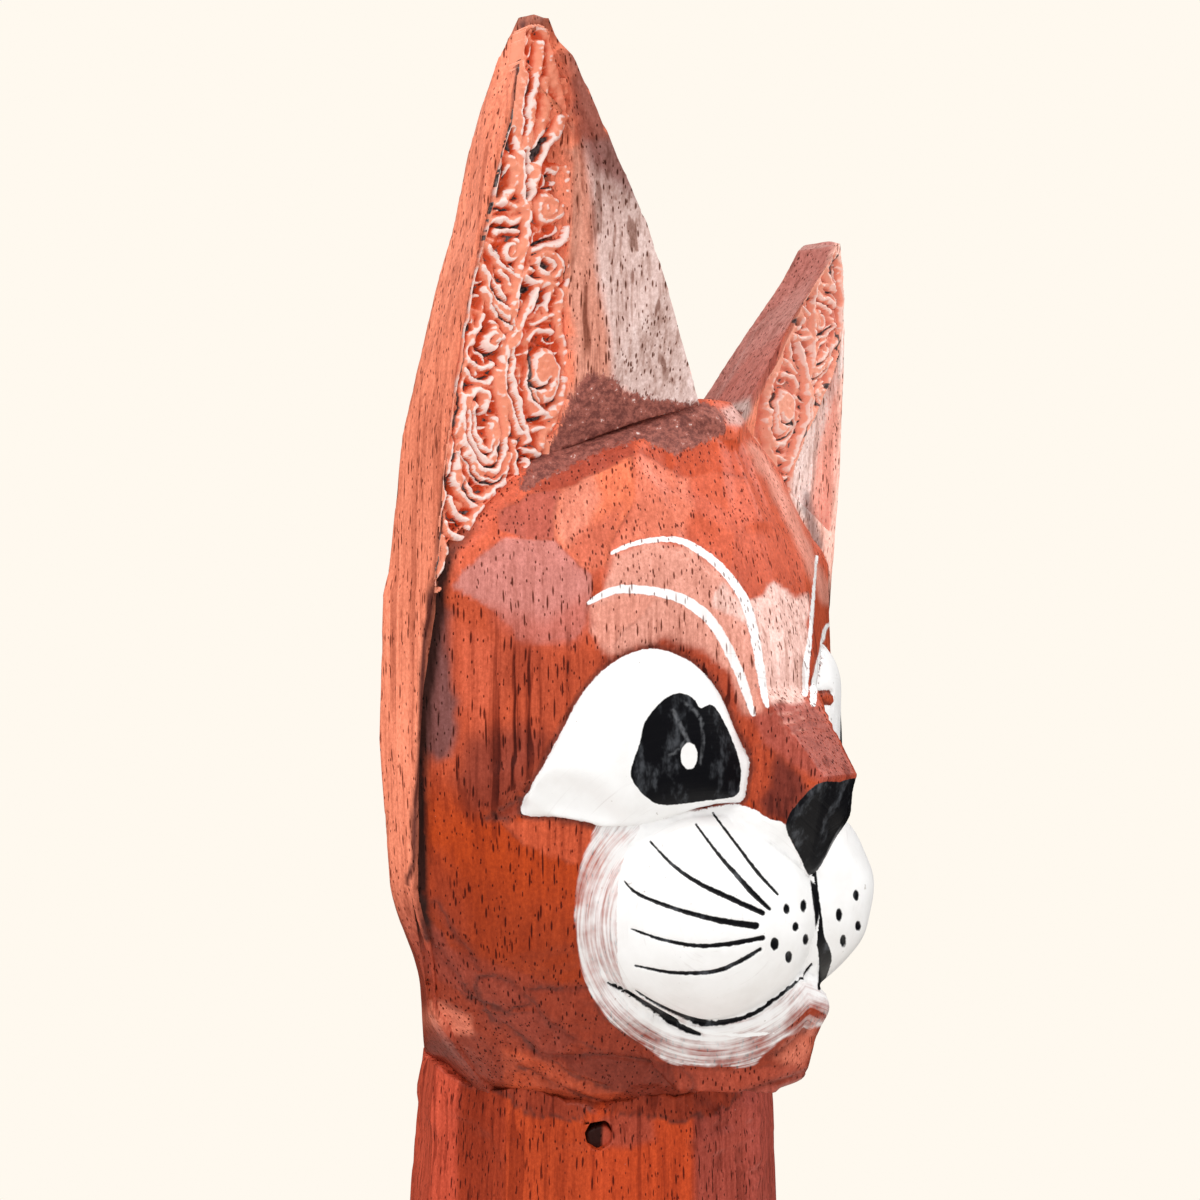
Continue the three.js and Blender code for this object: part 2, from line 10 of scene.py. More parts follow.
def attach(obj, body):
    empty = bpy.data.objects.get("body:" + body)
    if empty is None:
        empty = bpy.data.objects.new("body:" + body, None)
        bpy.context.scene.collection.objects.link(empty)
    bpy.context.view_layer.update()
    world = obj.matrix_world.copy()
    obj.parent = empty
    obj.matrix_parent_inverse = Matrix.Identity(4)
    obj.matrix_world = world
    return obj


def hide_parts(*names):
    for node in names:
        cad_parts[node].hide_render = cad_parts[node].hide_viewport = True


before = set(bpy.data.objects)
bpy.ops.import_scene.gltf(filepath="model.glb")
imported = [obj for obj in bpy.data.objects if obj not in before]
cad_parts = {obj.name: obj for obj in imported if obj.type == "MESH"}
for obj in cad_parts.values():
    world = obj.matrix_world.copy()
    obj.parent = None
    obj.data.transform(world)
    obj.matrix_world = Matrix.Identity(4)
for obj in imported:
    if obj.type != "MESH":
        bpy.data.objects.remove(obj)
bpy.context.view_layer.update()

MM = 0.001
# Points of a solid that are closer than this, in metres, are one
JOIN_GAP = 1e-6

# The drawing sheet
# Painted and carved outlines are drawn on a flat sheet, as the head looks level from its
# front right. One unit is a ninth of a millimetre at the axis of the neck. The cat's left
# side takes the same drawing, turned over.
SHEET_UNIT = 9.0
SHEET_MIDDLE = 600.0
SHEET_LEVEL = 620.0
# In mm: how far away and how high the eye is that sees the sheet
EYE_DISTANCE = 170.0
EYE_HEIGHT = 283.7
DIAGONAL = math.sqrt(0.5)
TO_EYE = np.array([-DIAGONAL, -DIAGONAL, 0])
# In mm: the level of the joint of head and neck, and how far forward the glue seam between the
# face and the ear board lies there; it leans forward by the slope
HEAD_BASE = 235.3
SEAM_FORWARD = 2.72
SEAM_SLOPE = 0.116
# Distances given to places that a line, and an outline or a stroke, doesn't reach
NO_LINE = 1e3
FAR_OFF = -99.0


def on_sheet(points):
    """Sheet position of points in millimetres, and the sheet units per millimetre there."""
    forward = -points[:, 1]
    across = (points[:, 0] + forward) * DIAGONAL
    near = (forward - points[:, 0]) * DIAGONAL
    unit = SHEET_UNIT * EYE_DISTANCE / (EYE_DISTANCE - near)
    place = np.empty((len(points), 2))
    place[:, 0] = SHEET_MIDDLE + unit * across
    place[:, 1] = SHEET_LEVEL - unit * (points[:, 2] - EYE_HEIGHT)
    return place, unit


def sight_lines(places):
    """The eye, and the way from it to each sheet position, in mm."""
    across = (places[:, 0] - SHEET_MIDDLE) / SHEET_UNIT
    rise = (SHEET_LEVEL - places[:, 1]) / SHEET_UNIT
    back = EYE_DISTANCE * DIAGONAL
    ways = np.stack((across * DIAGONAL + back, -across * DIAGONAL + back, rise), 1)
    return np.array([-back, -back, EYE_HEIGHT]), ways


def seam_of(spots):
    """How far points lie in front of the glue seam between the face and the ear board."""
    return -spots[:, 1] - SEAM_FORWARD - SEAM_SLOPE * (spots[:, 2] - HEAD_BASE)


def turned_over(points):
    """The same points, with those of the cat's left side moved to its right side."""
    twin = points.copy()
    twin[:, 0] = -np.abs(twin[:, 0])
    return twin


def eased(corners, closed=False, steps=6):
    """A smooth line through the corners."""
    spots = np.array(corners, dtype=float)
    count = len(spots)
    line = []
    spans = count if closed else count - 1
    for k in range(spans):
        if closed:
            before, first, second, after = (spots[(k + d) % count] for d in (-1, 0, 1, 2))
        else:
            before = spots[max(k - 1, 0)]
            first = spots[k]
            second = spots[k + 1]
            after = spots[min(k + 2, count - 1)]
        for step in range(steps):
            t = step / steps
            line.append(0.5 * (
                2 * first + (second - before) * t
                + (2 * before - 5 * first + 4 * second - after) * t * t
                + (3 * first - before - 3 * second + after) * t ** 3
            ))
    if not closed:
        line.append(spots[-1])
    return np.array(line)


# How far round a line distances are worked out, in units of the sheet
REACH = 62.0


def about(place, line):
    """Which places lie within reach of a line's box."""
    low = line.min(axis=0) - REACH
    high = line.max(axis=0) + REACH
    return np.flatnonzero(np.all((place > low) & (place < high), axis=1))


def near_line(place, line):
    """Distance from each place to a line, and how far along the line that is, 0 to 1."""
    best = np.full(len(place), NO_LINE)
    along = np.zeros(len(place))
    picked = about(place, line)
    x, y = place[picked, 0], place[picked, 1]
    least = np.full(len(picked), NO_LINE ** 2)
    where = np.zeros(len(picked))
    spans = len(line) - 1
    for k in range(spans):
        (ax, ay), (wx, wy) = line[k], line[k + 1] - line[k]
        dx, dy = x - ax, y - ay
        share = np.clip((dx * wx + dy * wy) / max(wx * wx + wy * wy, 1e-9), 0, 1)
        gap = (dx - share * wx) ** 2 + (dy - share * wy) ** 2
        closer = gap < least
        least[closer] = gap[closer]
        where[closer] = (k + share[closer]) / spans
    best[picked] = np.sqrt(least)
    along[picked] = where
    return best, along


def inside(place, outline):
    """Distance from each place to an outline, positive inside it."""
    ring = np.vstack((outline, outline[:1]))
    gap, _ = near_line(place, ring)
    picked = about(place, ring)
    within = np.zeros(len(picked), dtype=bool)
    x, y = place[picked, 0], place[picked, 1]
    for (ax, ay), (bx, by) in zip(ring[:-1], ring[1:]):
        crosses = (ay > y) != (by > y)
        reach = ax + (y - ay) * (bx - ax) / ((by - ay) if by != ay else 1e-9)
        within ^= crosses & (x < reach)
    sign = np.full(len(place), -1.0)
    sign[picked[within]] = 1.0
    return gap * sign


def stroke(place, corners, widths):
    """Distance into a brush stroke, positive inside; widths run from its first end to its last."""
    gap, along = near_line(place, eased(corners))
    wide = np.interp(along, np.linspace(0, 1, len(widths)), widths)
    return wide / 2 - gap


def ramp(value, low, high):
    """0 below low, 1 above high, eased between them."""
    t = np.clip((value - low) / (high - low), 0, 1)
    return t * t * (3 - 2 * t)


def hump(value, middle, half):
    """1 at the middle and 0 beyond half a width from it, eased."""
    return ramp(-np.abs(value - middle), -half, 0)


# Whole numbers that scatter the cells of a wobble
SCATTER_CELL = np.array([374761393, 668265263, 2147483647])
SCATTER_SEED = 7919
SCATTER_MORE = 1274126177


def wobble(place, size, seed):
    """Smooth random values from -1 to 1, about size apart."""
    grid = place / size
    base = np.floor(grid).astype(np.int64)
    share = grid - base
    share = share * share * (3 - 2 * share)
    total = np.zeros(len(place))
    axes = place.shape[1]
    for corner in np.ndindex(*(2,) * axes):
        cell = base + corner
        mixed = seed * SCATTER_SEED + cell @ SCATTER_CELL[:axes]
        mixed = (mixed ^ (mixed >> 13)) * SCATTER_MORE
        mixed = (mixed ^ (mixed >> 16)) & 0xFFFF
        total += np.prod(np.where(corner, share, 1 - share), axis=1) * (mixed / 32767.5 - 1)
    return total


# Mesh handling
def spots_of(mesh):
    flat = np.empty(len(mesh.vertices) * 3)
    mesh.vertices.foreach_get("co", flat)
    return flat.reshape(-1, 3) / MM


def normals_of(mesh):
    flat = np.empty(len(mesh.vertices) * 3)
    mesh.vertices.foreach_get("normal", flat)
    return flat.reshape(-1, 3)


def set_spots(mesh, spots):
    mesh.vertices.foreach_set("co", (spots * MM).ravel())
    mesh.update()


def settle(piece):
    """The piece's mesh with its modifiers applied."""
    graph = bpy.context.evaluated_depsgraph_get()
    finished = bpy.data.meshes.new_from_object(piece.evaluated_get(graph))
    piece.modifiers.clear()
    piece.data = finished


def new_piece(name, body):
    mesh = bpy.data.meshes.new(name)
    body.to_mesh(mesh)
    body.free()
    piece = bpy.data.objects.new(name, mesh)
    bpy.context.collection.objects.link(piece)
    return piece


def merged_copy(node):
    """A copy of a solid's mesh, with its loose triangles joined."""
    body = bmesh.new()
    body.from_mesh(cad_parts[node].data)
    bmesh.ops.remove_doubles(body, verts=body.verts, dist=JOIN_GAP)
    return body


def rub(body, verts, share):
    """Moves points a share of the way to the middle of their neighbours."""
    bmesh.ops.smooth_vert(body, verts=verts, factor=share,
                          use_axis_x=True, use_axis_y=True, use_axis_z=True)


def carved_block(node, name, depth, fill):
    """An evenly meshed copy of a block, ready for the knife."""
    piece = new_piece(name, merged_copy(node))
    even = piece.modifiers.new("even", "REMESH")
    even.mode = "SHARP"
    even.octree_depth = depth
    even.scale = fill
    even.sharpness = 1.0
    even.use_remove_disconnected = False
    ease = piece.modifiers.new("ease", "SMOOTH")
    ease.factor = 0.5
    ease.iterations = 1
    settle(piece)
    return piece


def worn_block(node, name, size):
    """An evenly meshed copy of a block, with its sharp edges worn."""
    piece = new_piece(name, merged_copy(node))
    even = piece.modifiers.new("even", "REMESH")
    even.mode = "VOXEL"
    even.voxel_size = size * MM
    ease = piece.modifiers.new("ease", "SMOOTH")
    ease.factor = 0.5
    ease.iterations = 4
    settle(piece)
    return piece


# Points closer than this, in mm, become one, and edges over this angle are worn
SLIVER = 0.07
SHARP_EDGE = 0.25


def fine_block(node, name, size):
    """A copy of a block with its faces cut to an even size in mm and its sharp edges worn."""
    body = merged_copy(node)
    for axis in (1, 2, 0):
        ends = [v.co[axis] for v in body.verts]
        way = Vector((axis == 0, axis == 1, axis == 2))
        for level in np.arange(min(ends) + 0.7 * size * MM, max(ends), size * MM):
            bmesh.ops.bisect_plane(body, geom=[*body.verts, *body.edges, *body.faces], dist=1e-7,
                                   plane_co=way * level, plane_no=way)
    bmesh.ops.remove_doubles(body, verts=body.verts, dist=SLIVER * MM)
    bmesh.ops.triangulate(body, faces=body.faces)
    edges = [e for e in body.edges if e.is_manifold and e.calc_face_angle() > SHARP_EDGE]
    verts = {v for e in edges for v in e.verts}
    rub(body, list(verts), 0.4)
    return new_piece(name, body)


def shade_smooth(piece):
    mesh = piece.data
    mesh.polygons.foreach_set("use_smooth", np.ones(len(mesh.polygons), dtype=bool))


def keep_values(piece, name, values):
    """Keeps a row of values per vertex, as a colour, for the finishes to read."""
    mesh = piece.data
    layer = mesh.attributes.new(name, "FLOAT_COLOR", "POINT")
    full = np.zeros((len(values), 4))
    full[:, :values.shape[1]] = values
    layer.data.foreach_set("color", full.ravel())


def refine(piece, wanted):
    """Splits the faces whose corners are all wanted into four."""
    body = bmesh.new()
    body.from_mesh(piece.data)
    body.verts.ensure_lookup_table()
    edges = [e for e in body.edges if wanted[e.verts[0].index] and wanted[e.verts[1].index]]
    bmesh.ops.subdivide_edges(body, edges=edges, cuts=1, use_grid_fill=True)
    body.to_mesh(piece.data)
    body.free()


def slide(spots, amount):
    """Moves points across the sheet, to the right, by an amount in mm."""
    spots[:, 0] += amount * DIAGONAL
    spots[:, 1] -= amount * DIAGONAL


def tree_of(piece):
    return BVHTree.FromObject(piece, bpy.context.evaluated_depsgraph_get())


def spot_under(tree, place):
    """Where a sheet position falls on a piece, in mm."""
    eye, ways = sight_lines(np.array([place], dtype=float))
    hit = tree.ray_cast(Vector(eye * MM), Vector(ways[0]).normalized())[0]
    return None if hit is None else np.array(hit) / MM


def plane_off(spots, ways, low, way, sink, reach, most):
    """One knife cut: planes off at most so much of what stands above a plane near its middle."""
    lift = (spots - low) @ way + sink
    gap = np.linalg.norm(spots - low, axis=1)
    cut = (gap < reach) & (lift > 0) & (ways @ way > 0.7)
    share = ramp(reach - gap[cut], 0, reach * 0.2)
    spots[cut] -= (np.minimum(lift[cut], most) * share)[:, None] * way
    return spots


def knife_facets(spots, ways, count, sink, reach, seed, keep=None):
    """Small flat knife cuts spread over a piece."""
    rng = np.random.default_rng(seed)
    start = spots.copy()
    pool = np.arange(len(spots)) if keep is None else np.flatnonzero(keep)
    for index in rng.choice(pool, count, replace=False):
        way = ways[index] + rng.normal(0, 0.05, 3)
        way /= np.linalg.norm(way)
        spots = plane_off(spots, ways, start[index], way, sink * rng.uniform(0.4, 1.0), reach, sink)
    return spots


FRONT_RIGHT = np.array([-1.0, -1.0, 0.3])


def flat_cut(spots, ways, tree, places, sink, reach):
    """One flat knife cut through three sheet positions, made on both sides of the head."""
    corners = [spot_under(tree, place) for place in places]
    if any(corner is None for corner in corners):
        return spots
    way = np.cross(corners[1] - corners[0], corners[2] - corners[0])
    way /= np.linalg.norm(way)
    if way @ FRONT_RIGHT < 0:
        way = -way
    middle = sum(corners) / 3
    for side in (1, -1):
        turn = np.array([side, 1, 1])
        spots = plane_off(spots, ways, middle * turn, way * turn, sink, reach, most=1.2)
    return spots


def on_seam(places):
    """Where sheet positions fall on the plane of the ears' front, as points in mm."""
    eye, ways = sight_lines(places)
    slope = -ways[:, 1] - SEAM_SLOPE * ways[:, 2]
    start = -eye[1] - SEAM_FORWARD - SEAM_SLOPE * (EYE_HEIGHT - HEAD_BASE)
    return eye + ways * (-start / slope)[:, None]


def soften(piece, picked, rounds):
    """Rubs the picked points of a piece smooth."""
    body = bmesh.new()
    body.from_mesh(piece.data)
    body.verts.ensure_lookup_table()
    verts = [body.verts[index] for index in np.flatnonzero(picked)]
    for _ in range(rounds):
        rub(body, verts, 0.5)
    body.to_mesh(piece.data)
    body.free()


# Outlines of the painted face
EYE_WHITE = [
    (523, 799), (538, 773), (561, 730), (582, 694), (607, 666), (633, 652), (658, 648), (684, 657),
    (704, 671), (722, 696), (735, 725), (745, 748), (750, 763), (747, 783), (741, 802), (709, 807),
    (663, 821), (633, 827), (602, 828), (584, 823), (551, 818), (524, 815),
]
EYE_CORNER = [(484, 821), (498, 812), (523, 798), (526, 807), (524, 814), (501, 819)]
PUPIL = [
    (631, 770), (640, 742), (645, 722), (661, 702), (679, 693), (694, 699), (700, 708), (712, 705),
    (724, 722), (733, 742), (740, 765), (740, 783), (735, 796), (704, 801), (663, 805), (645, 796),
    (634, 783),
]
PUPIL_SCRATCHES = [
    ([(672, 708), (680, 725), (690, 745)], 3.0), ([(684, 702), (696, 712), (703, 724)], 2.2),
    ([(700, 716), (703, 742), (700, 765)], 1.2), ([(662, 758), (676, 752), (684, 742)], 1.0),
]
# The left pupil is narrower and lies further out: its edge on the sheet and its width as a share
LEFT_PUPIL_EDGE = 566
LEFT_PUPIL_SHARE = 0.72
GLINT = (689, 756)
GLINT_SIZE = (8.4, 13.3)
NOSE_LEATHER = [
    (804, 796), (823, 782), (853, 784), (862, 790), (860, 806), (848, 828), (828, 862), (812, 878),
    (800, 857), (786, 824),
]
MUZZLE = [
    (640, 828), (626, 850), (618, 882), (616, 915), (617, 945), (618, 968), (628, 990), (650, 1006),
    (680, 1020), (703, 1026), (726, 1025), (746, 1018), (766, 1008), (787, 994), (806, 980),
    (822, 990), (840, 980), (866, 940), (880, 900), (876, 860), (852, 818), (832, 850), (812, 876),
    (796, 850), (784, 824), (770, 819), (745, 806), (712, 809), (663, 821), (633, 827),
]
MUZZLE_SMEAR = [
    (605, 824), (590, 842), (581, 864), (575, 904), (578, 944), (586, 983), (605, 1016),
    (638, 1042), (671, 1063), (704, 1066), (748, 1066), (768, 1052), (784, 1038), (803, 1030),
    (814, 1012), (820, 994), (846, 975), (870, 900), (800, 830), (700, 812),
]
# Middle of the brush strokes on the muzzle, units for a step outwards and steps for a turn
MUZZLE_MIDDLE = (712, 925)
BRUSH_STEP = 9
BRUSH_TURN = 12
WHISKERS = [
    ([(713, 813), (735, 842), (758, 872), (778, 894)], (2.0, 3.0, 3.8, 2.4)),
    ([(696, 824), (717, 852), (737, 875), (755, 895), (770, 909)], (2.0, 3.2, 5.0, 5.6, 3.6)),
    ([(650, 841), (673, 865), (699, 883), (730, 898), (763, 913)], (1.8, 3.2, 4.6, 5.6, 5.6)),
    ([(624, 881), (638, 894), (673, 908), (717, 920), (756, 926)], (1.5, 3.2, 4.2, 6.0, 7.4)),
    ([(631, 929), (663, 940), (699, 946), (730, 944), (763, 938)], (2.0, 3.4, 4.2, 5.0, 5.0)),
    ([(635, 966), (673, 973), (712, 972), (737, 963), (761, 949)], (2.0, 3.6, 4.2, 4.6, 3.6)),
]
WHISKER_ROOTS = [
    (787, 909, 3.2, 5.2), (804, 906, 3.0, 6.0), (796, 927, 3.2, 4.6), (775, 944, 4.2, 6.5),
    (806, 940, 2.8, 5.4), (789, 957, 3.4, 6.0),
]
MOUTH = [(812, 866), (815, 892), (818, 915), (820, 937), (825, 956), (823, 973), (819, 989)]
SMILE = [
    (634, 993), (651, 1004), (671, 1014), (690, 1021), (710, 1025), (736, 1021), (762, 1009),
    (788, 990), (803, 977), (813, 966),
]
SMILE_UNDER = [(608, 984), (622, 992), (648, 1009), (671, 1022), (687, 1031), (700, 1036)]
# Thick paint below the smile
PAINT_RIDGE = [(640, 1003), (668, 1018), (690, 1028), (716, 1033), (742, 1035), (774, 1033)]
BROW_HIGH = [
    (612, 553), (627, 546), (642, 542), (662, 539), (682, 541), (703, 553), (719, 566), (733, 582),
    (744, 600), (752, 625), (758, 655), (764, 692), (767, 706),
]
BROW_LOW = [
    (589, 603), (603, 595), (623, 589), (658, 592), (682, 599), (703, 613), (717, 629), (727, 647),
    (738, 670), (746, 692), (753, 714),
]
# The left side has its own brow strokes, seen past the bridge
LEFT_BROW_HIGH = [(817, 556), (815, 575), (813, 594), (810, 635), (806, 666), (805, 694)]
LEFT_BROW_LOW = [(832, 622), (825, 629), (821, 651), (818, 666), (814, 686), (813, 704)]
LEFT_ROOTS = [
    (856, 895, 3.0, 5.2), (839, 915, 3.0, 6.6), (858, 926, 2.8, 5.2), (843, 941, 3.0, 6.0),
    (862, 948, 2.2, 5.0),
]
LEFT_EYE_CHIP = [(818, 692), (830, 690), (842, 700), (844, 707), (830, 705), (820, 703)]
# In mm: where the left side begins and its bridge ends, how far forward the muzzle stands, how
# far before the seam the paint begins, and the most that is kept of a distance into a coat
LEFT_START = 0.4
LEFT_BRIDGE_END = 11
MUZZLE_FORWARD = 24
PAINT_START = 1.5
COAT_LIMIT = 5


def dots(place, roots):
    """Distance into the nearest brush dot, each with its half width and half height."""
    inward = np.full(len(place), FAR_OFF)
    for across, down, wide, tall in roots:
        away = np.linalg.norm((place - (across, down)) / (wide, tall), axis=1)
        inward = np.maximum(inward, (1 - away) * wide)
    return inward


class FacePaint:
    """Where the paint lies on a row of points, as distances in mm into each coat."""

    def __init__(self, spots, ways):
        place, unit = on_sheet(turned_over(spots))
        left_place, left_unit = on_sheet(spots)
        left = spots[:, 0] > LEFT_START
        toward = ways @ TO_EYE
        front = seam_of(spots) > PAINT_START
        brow = np.maximum(
            stroke(place, BROW_HIGH, (4, 5, 6, 8, 9, 10, 9, 5)),
            stroke(place, BROW_LOW, (5, 8, 9, 10, 11, 10, 10, 9, 6)),
        ) / unit
        left_brow = np.maximum(
            stroke(left_place, LEFT_BROW_HIGH, (3, 3, 3.5, 4.5, 7, 6)),
            stroke(left_place, LEFT_BROW_LOW, (3.5, 4, 4.5, 6, 8, 6)),
        ) / left_unit
        self.brow = np.where(left, left_brow, brow)
        eye = inside(place, eased(EYE_WHITE, True)) / unit
        chip = inside(left_place, eased(LEFT_EYE_CHIP, True)) / left_unit
        self.eye = np.where(left & (spots[:, 0] < LEFT_BRIDGE_END), np.minimum(eye, -chip), eye)
        self.muzzle = inside(place, eased(MUZZLE, True)) / unit
        self.smear = inside(place, eased(MUZZLE_SMEAR, True)) / unit
        eyeball = place.copy()
        eyeball[left, 0] = PUPIL[0][0] + (place[left, 0] - LEFT_PUPIL_EDGE) / LEFT_PUPIL_SHARE
        pupil = inside(eyeball, eased(PUPIL, True))
        glint = np.linalg.norm((eyeball - GLINT) / GLINT_SIZE, axis=1) - 1
        self.pupil = np.minimum(pupil, glint * SHEET_UNIT) / unit
        self.nose = inside(place, eased(NOSE_LEATHER, True)) / unit
        lines = dots(place, WHISKER_ROOTS)
        for corners, widths in WHISKERS:
            lines = np.maximum(lines, stroke(place, corners, widths))
        left_lines = dots(left_place, LEFT_ROOTS)
        muzzle_front = left & (-spots[:, 1] > MUZZLE_FORWARD)
        self.lines = np.where(muzzle_front & (toward > 0.1), left_lines, lines) / unit
        straight = np.where((muzzle_front & (toward > -0.1))[:, None], left_place, place)
        self.mouth = stroke(straight, MOUTH, (7, 7, 7, 9, 13, 9, 3)) / unit
        self.smile = np.maximum(
            stroke(straight, SMILE, (1.5, 2.5, 3.5, 4.5, 6, 6, 4, 3, 2.5, 2)),
            stroke(place, SMILE_UNDER, (2, 3, 5, 6.5, 6, 3)),
        ) / unit
        self.ridge = stroke(place, PAINT_RIDGE, (2, 4, 3, 6, 3, 5, 2)) / unit
        scratch = np.full(len(spots), FAR_OFF)
        for corners, width in PUPIL_SCRATCHES:
            scratch = np.maximum(scratch, stroke(place, corners, (width * 0.4, width, width * 0.5)))
        self.scratch = scratch / unit
        for name in ("brow", "eye", "muzzle", "smear", "pupil", "nose", "lines", "mouth", "smile",
                     "ridge", "scratch"):
            kept = np.where(front, getattr(self, name), -COAT_LIMIT)
            setattr(self, name, kept.clip(-COAT_LIMIT, COAT_LIMIT))
        self.white = np.maximum.reduce((self.brow, self.eye, self.muzzle, self.ridge))
        self.black = np.maximum.reduce((self.pupil, self.nose, self.lines, self.mouth, self.smile))


# Strokes of the flower carving, on the sheet: ridges with a width and a height, curls with a
# middle, two half widths, a start and an end in degrees, a width and a height, and cuts with a
# width and a depth
CARVED_RIDGES = [
    ([(523, 38), (521, 66), (518, 91), (515, 113), (513, 127)], 7.8, 0.95),
    ([(541, 43), (540, 66), (537, 82), (534, 102), (531, 127), (529, 149)], 6.1, 0.9),
    ([(526, 74), (524, 99), (522, 121), (520, 141), (522, 154)], 6.7, 0.9),
    ([(552, 35), (555, 52), (556, 71), (561, 88), (566, 102), (572, 121), (573, 141),
      (576, 160)], 7.8, 0.8),
    ([(548, 79), (549, 96), (547, 113), (541, 132), (537, 143)], 7.2, 0.75),
    ([(563, 118), (556, 132), (548, 146), (541, 160), (537, 177), (532, 193)], 7.2, 1.1),
    ([(522, 154), (523, 171), (524, 188), (526, 204), (528, 221), (526, 241), (523, 260),
      (519, 277), (516, 293), (513, 310)], 5.6, 1.15),
    ([(533, 166), (532, 188), (530, 204)], 5.0, 0.9),
    ([(513, 160), (518, 171), (516, 185), (509, 196), (504, 202)], 7.2, 1.0),
    ([(509, 166), (503, 177), (501, 191), (504, 202)], 3.9, 0.8),
    ([(497, 204), (505, 202), (513, 206), (522, 204)], 5.0, 0.9),
    ([(495, 221), (505, 217), (513, 221), (522, 217)], 5.0, 0.9),
    ([(498, 232), (508, 229), (518, 232)], 4.4, 0.8),
    ([(570, 166), (569, 182), (572, 202), (573, 221), (570, 238), (572, 260), (570, 277),
      (569, 296), (570, 310)], 5.6, 0.9),
    ([(533, 249), (544, 246), (555, 245), (565, 239), (569, 229)], 5.0, 1.2),
    ([(526, 274), (533, 267), (537, 260)], 5.6, 0.95),
    ([(524, 277), (536, 281), (547, 284), (558, 285)], 5.0, 1.0),
    ([(490, 246), (497, 257), (505, 266), (513, 271), (517, 277)], 5.0, 1.0),
    ([(484, 268), (490, 277), (495, 288), (501, 302), (505, 310)], 6.1, 1.0),
    ([(502, 271), (509, 282), (511, 293)], 4.4, 0.9),
    ([(537, 288), (533, 299), (530, 310)], 5.0, 1.0),
    ([(552, 291), (549, 302), (547, 310)], 5.0, 0.95),
    ([(563, 291), (559, 304)], 4.4, 0.9),
    ([(487, 288), (490, 299), (497, 310), (507, 319), (511, 329)], 5.6, 1.0),
    ([(500, 288), (504, 301), (509, 315), (512, 329)], 5.0, 1.0),
    ([(518, 296), (515, 310), (513, 329)], 5.0, 1.0),
    ([(535, 296), (526, 312), (521, 324), (518, 335), (512, 351), (511, 371), (515, 393),
      (519, 410), (524, 426), (527, 440)], 5.6, 1.25),
    ([(515, 333), (505, 354), (505, 376), (508, 399), (515, 415), (520, 432)], 5.0, 1.1),
    ([(487, 335), (496, 333), (500, 339)], 3.9, 0.9),
    ([(469, 360), (478, 365), (487, 368), (494, 364)], 5.0, 0.95),
    ([(466, 371), (475, 379), (485, 383), (493, 379)], 5.0, 0.95),
    ([(473, 362), (478, 374)], 3.3, 0.8),
    ([(500, 371), (502, 388), (505, 404), (506, 426), (503, 451), (496, 468), (485, 471),
      (472, 458), (464, 435), (461, 413), (464, 394)], 6.1, 1.1),
    ([(496, 418), (497, 438), (494, 454), (487, 461), (478, 452), (471, 435), (468, 416),
      (469, 399)], 5.6, 1.1),
    ([(491, 426), (492, 440), (489, 451), (482, 446), (476, 432), (474, 419),
      (475, 406)], 5.0, 1.05),
    ([(469, 396), (476, 390), (485, 393), (487, 401), (484, 408)], 6.1, 1.2),
    ([(461, 443), (466, 460), (476, 474), (487, 482), (500, 479), (507, 468),
      (509, 454)], 5.0, 1.0),
    ([(457, 454), (461, 476), (471, 493), (483, 499), (496, 490), (504, 482)], 5.6, 1.0),
    ([(455, 476), (460, 490), (468, 501), (476, 507)], 5.0, 0.95),
    ([(451, 499), (455, 510), (464, 518), (471, 521)], 5.0, 0.95),
    ([(482, 507), (473, 518), (469, 529)], 5.0, 0.95),
    ([(446, 521), (450, 532), (458, 538), (468, 540)], 5.6, 1.0),
    ([(443, 538), (446, 551), (442, 565), (437, 576)], 5.0, 0.9),
    ([(465, 543), (457, 554), (450, 562)], 4.4, 0.9),
    ([(562, 304), (560, 321), (564, 338), (568, 360), (566, 382), (564, 404), (554, 424),
      (546, 432), (543, 446)], 6.1, 0.95),
    ([(526, 432), (535, 429), (544, 426)], 4.4, 0.9),
    ([(523, 449), (532, 451), (540, 454)], 4.4, 0.9),
    ([(515, 443), (516, 460), (518, 474)], 4.4, 0.9),
    ([(529, 460), (526, 471)], 3.9, 0.85),
    ([(471, 315), (473, 335), (469, 351), (466, 371), (463, 393), (459, 421), (455, 443),
      (450, 468), (446, 493), (442, 518), (439, 543), (436, 565)], 4.4, 0.8),
    ([(485, 315), (482, 326), (477, 332), (475, 343)], 4.4, 0.9),
    ([(496, 321), (501, 326)], 3.9, 0.85),
    ([(535, 324), (543, 318), (554, 315)], 4.4, 0.9),
    ([(530, 340), (535, 333), (543, 329), (554, 332)], 4.4, 0.9),
]
CARVED_RINGS = [
    ((549, 207), 13.3, 14.4, 0, 360, 5.6, 1.0),
    ((549, 208), 6.1, 7.2, 20, 330, 3.6, 0.9),
    ((551, 267), 15.6, 16.1, -150, 120, 5.6, 1.05),
    ((547, 264), 8.9, 9.4, 0, 360, 3.3, 0.9),
    ((512, 250), 8.9, 10.6, -60, 200, 4.4, 1.0),
    ((494, 339), 9.4, 10.6, -70, 190, 5.0, 1.05),
    ((546, 380), 18.3, 39.7, 0, 360, 6.7, 1.2),
    ((543, 374), 11.1, 23.3, 0, 360, 5.6, 1.1),
    ((541, 369), 4.7, 10.6, 0, 360, 5.6, 1.2),
]
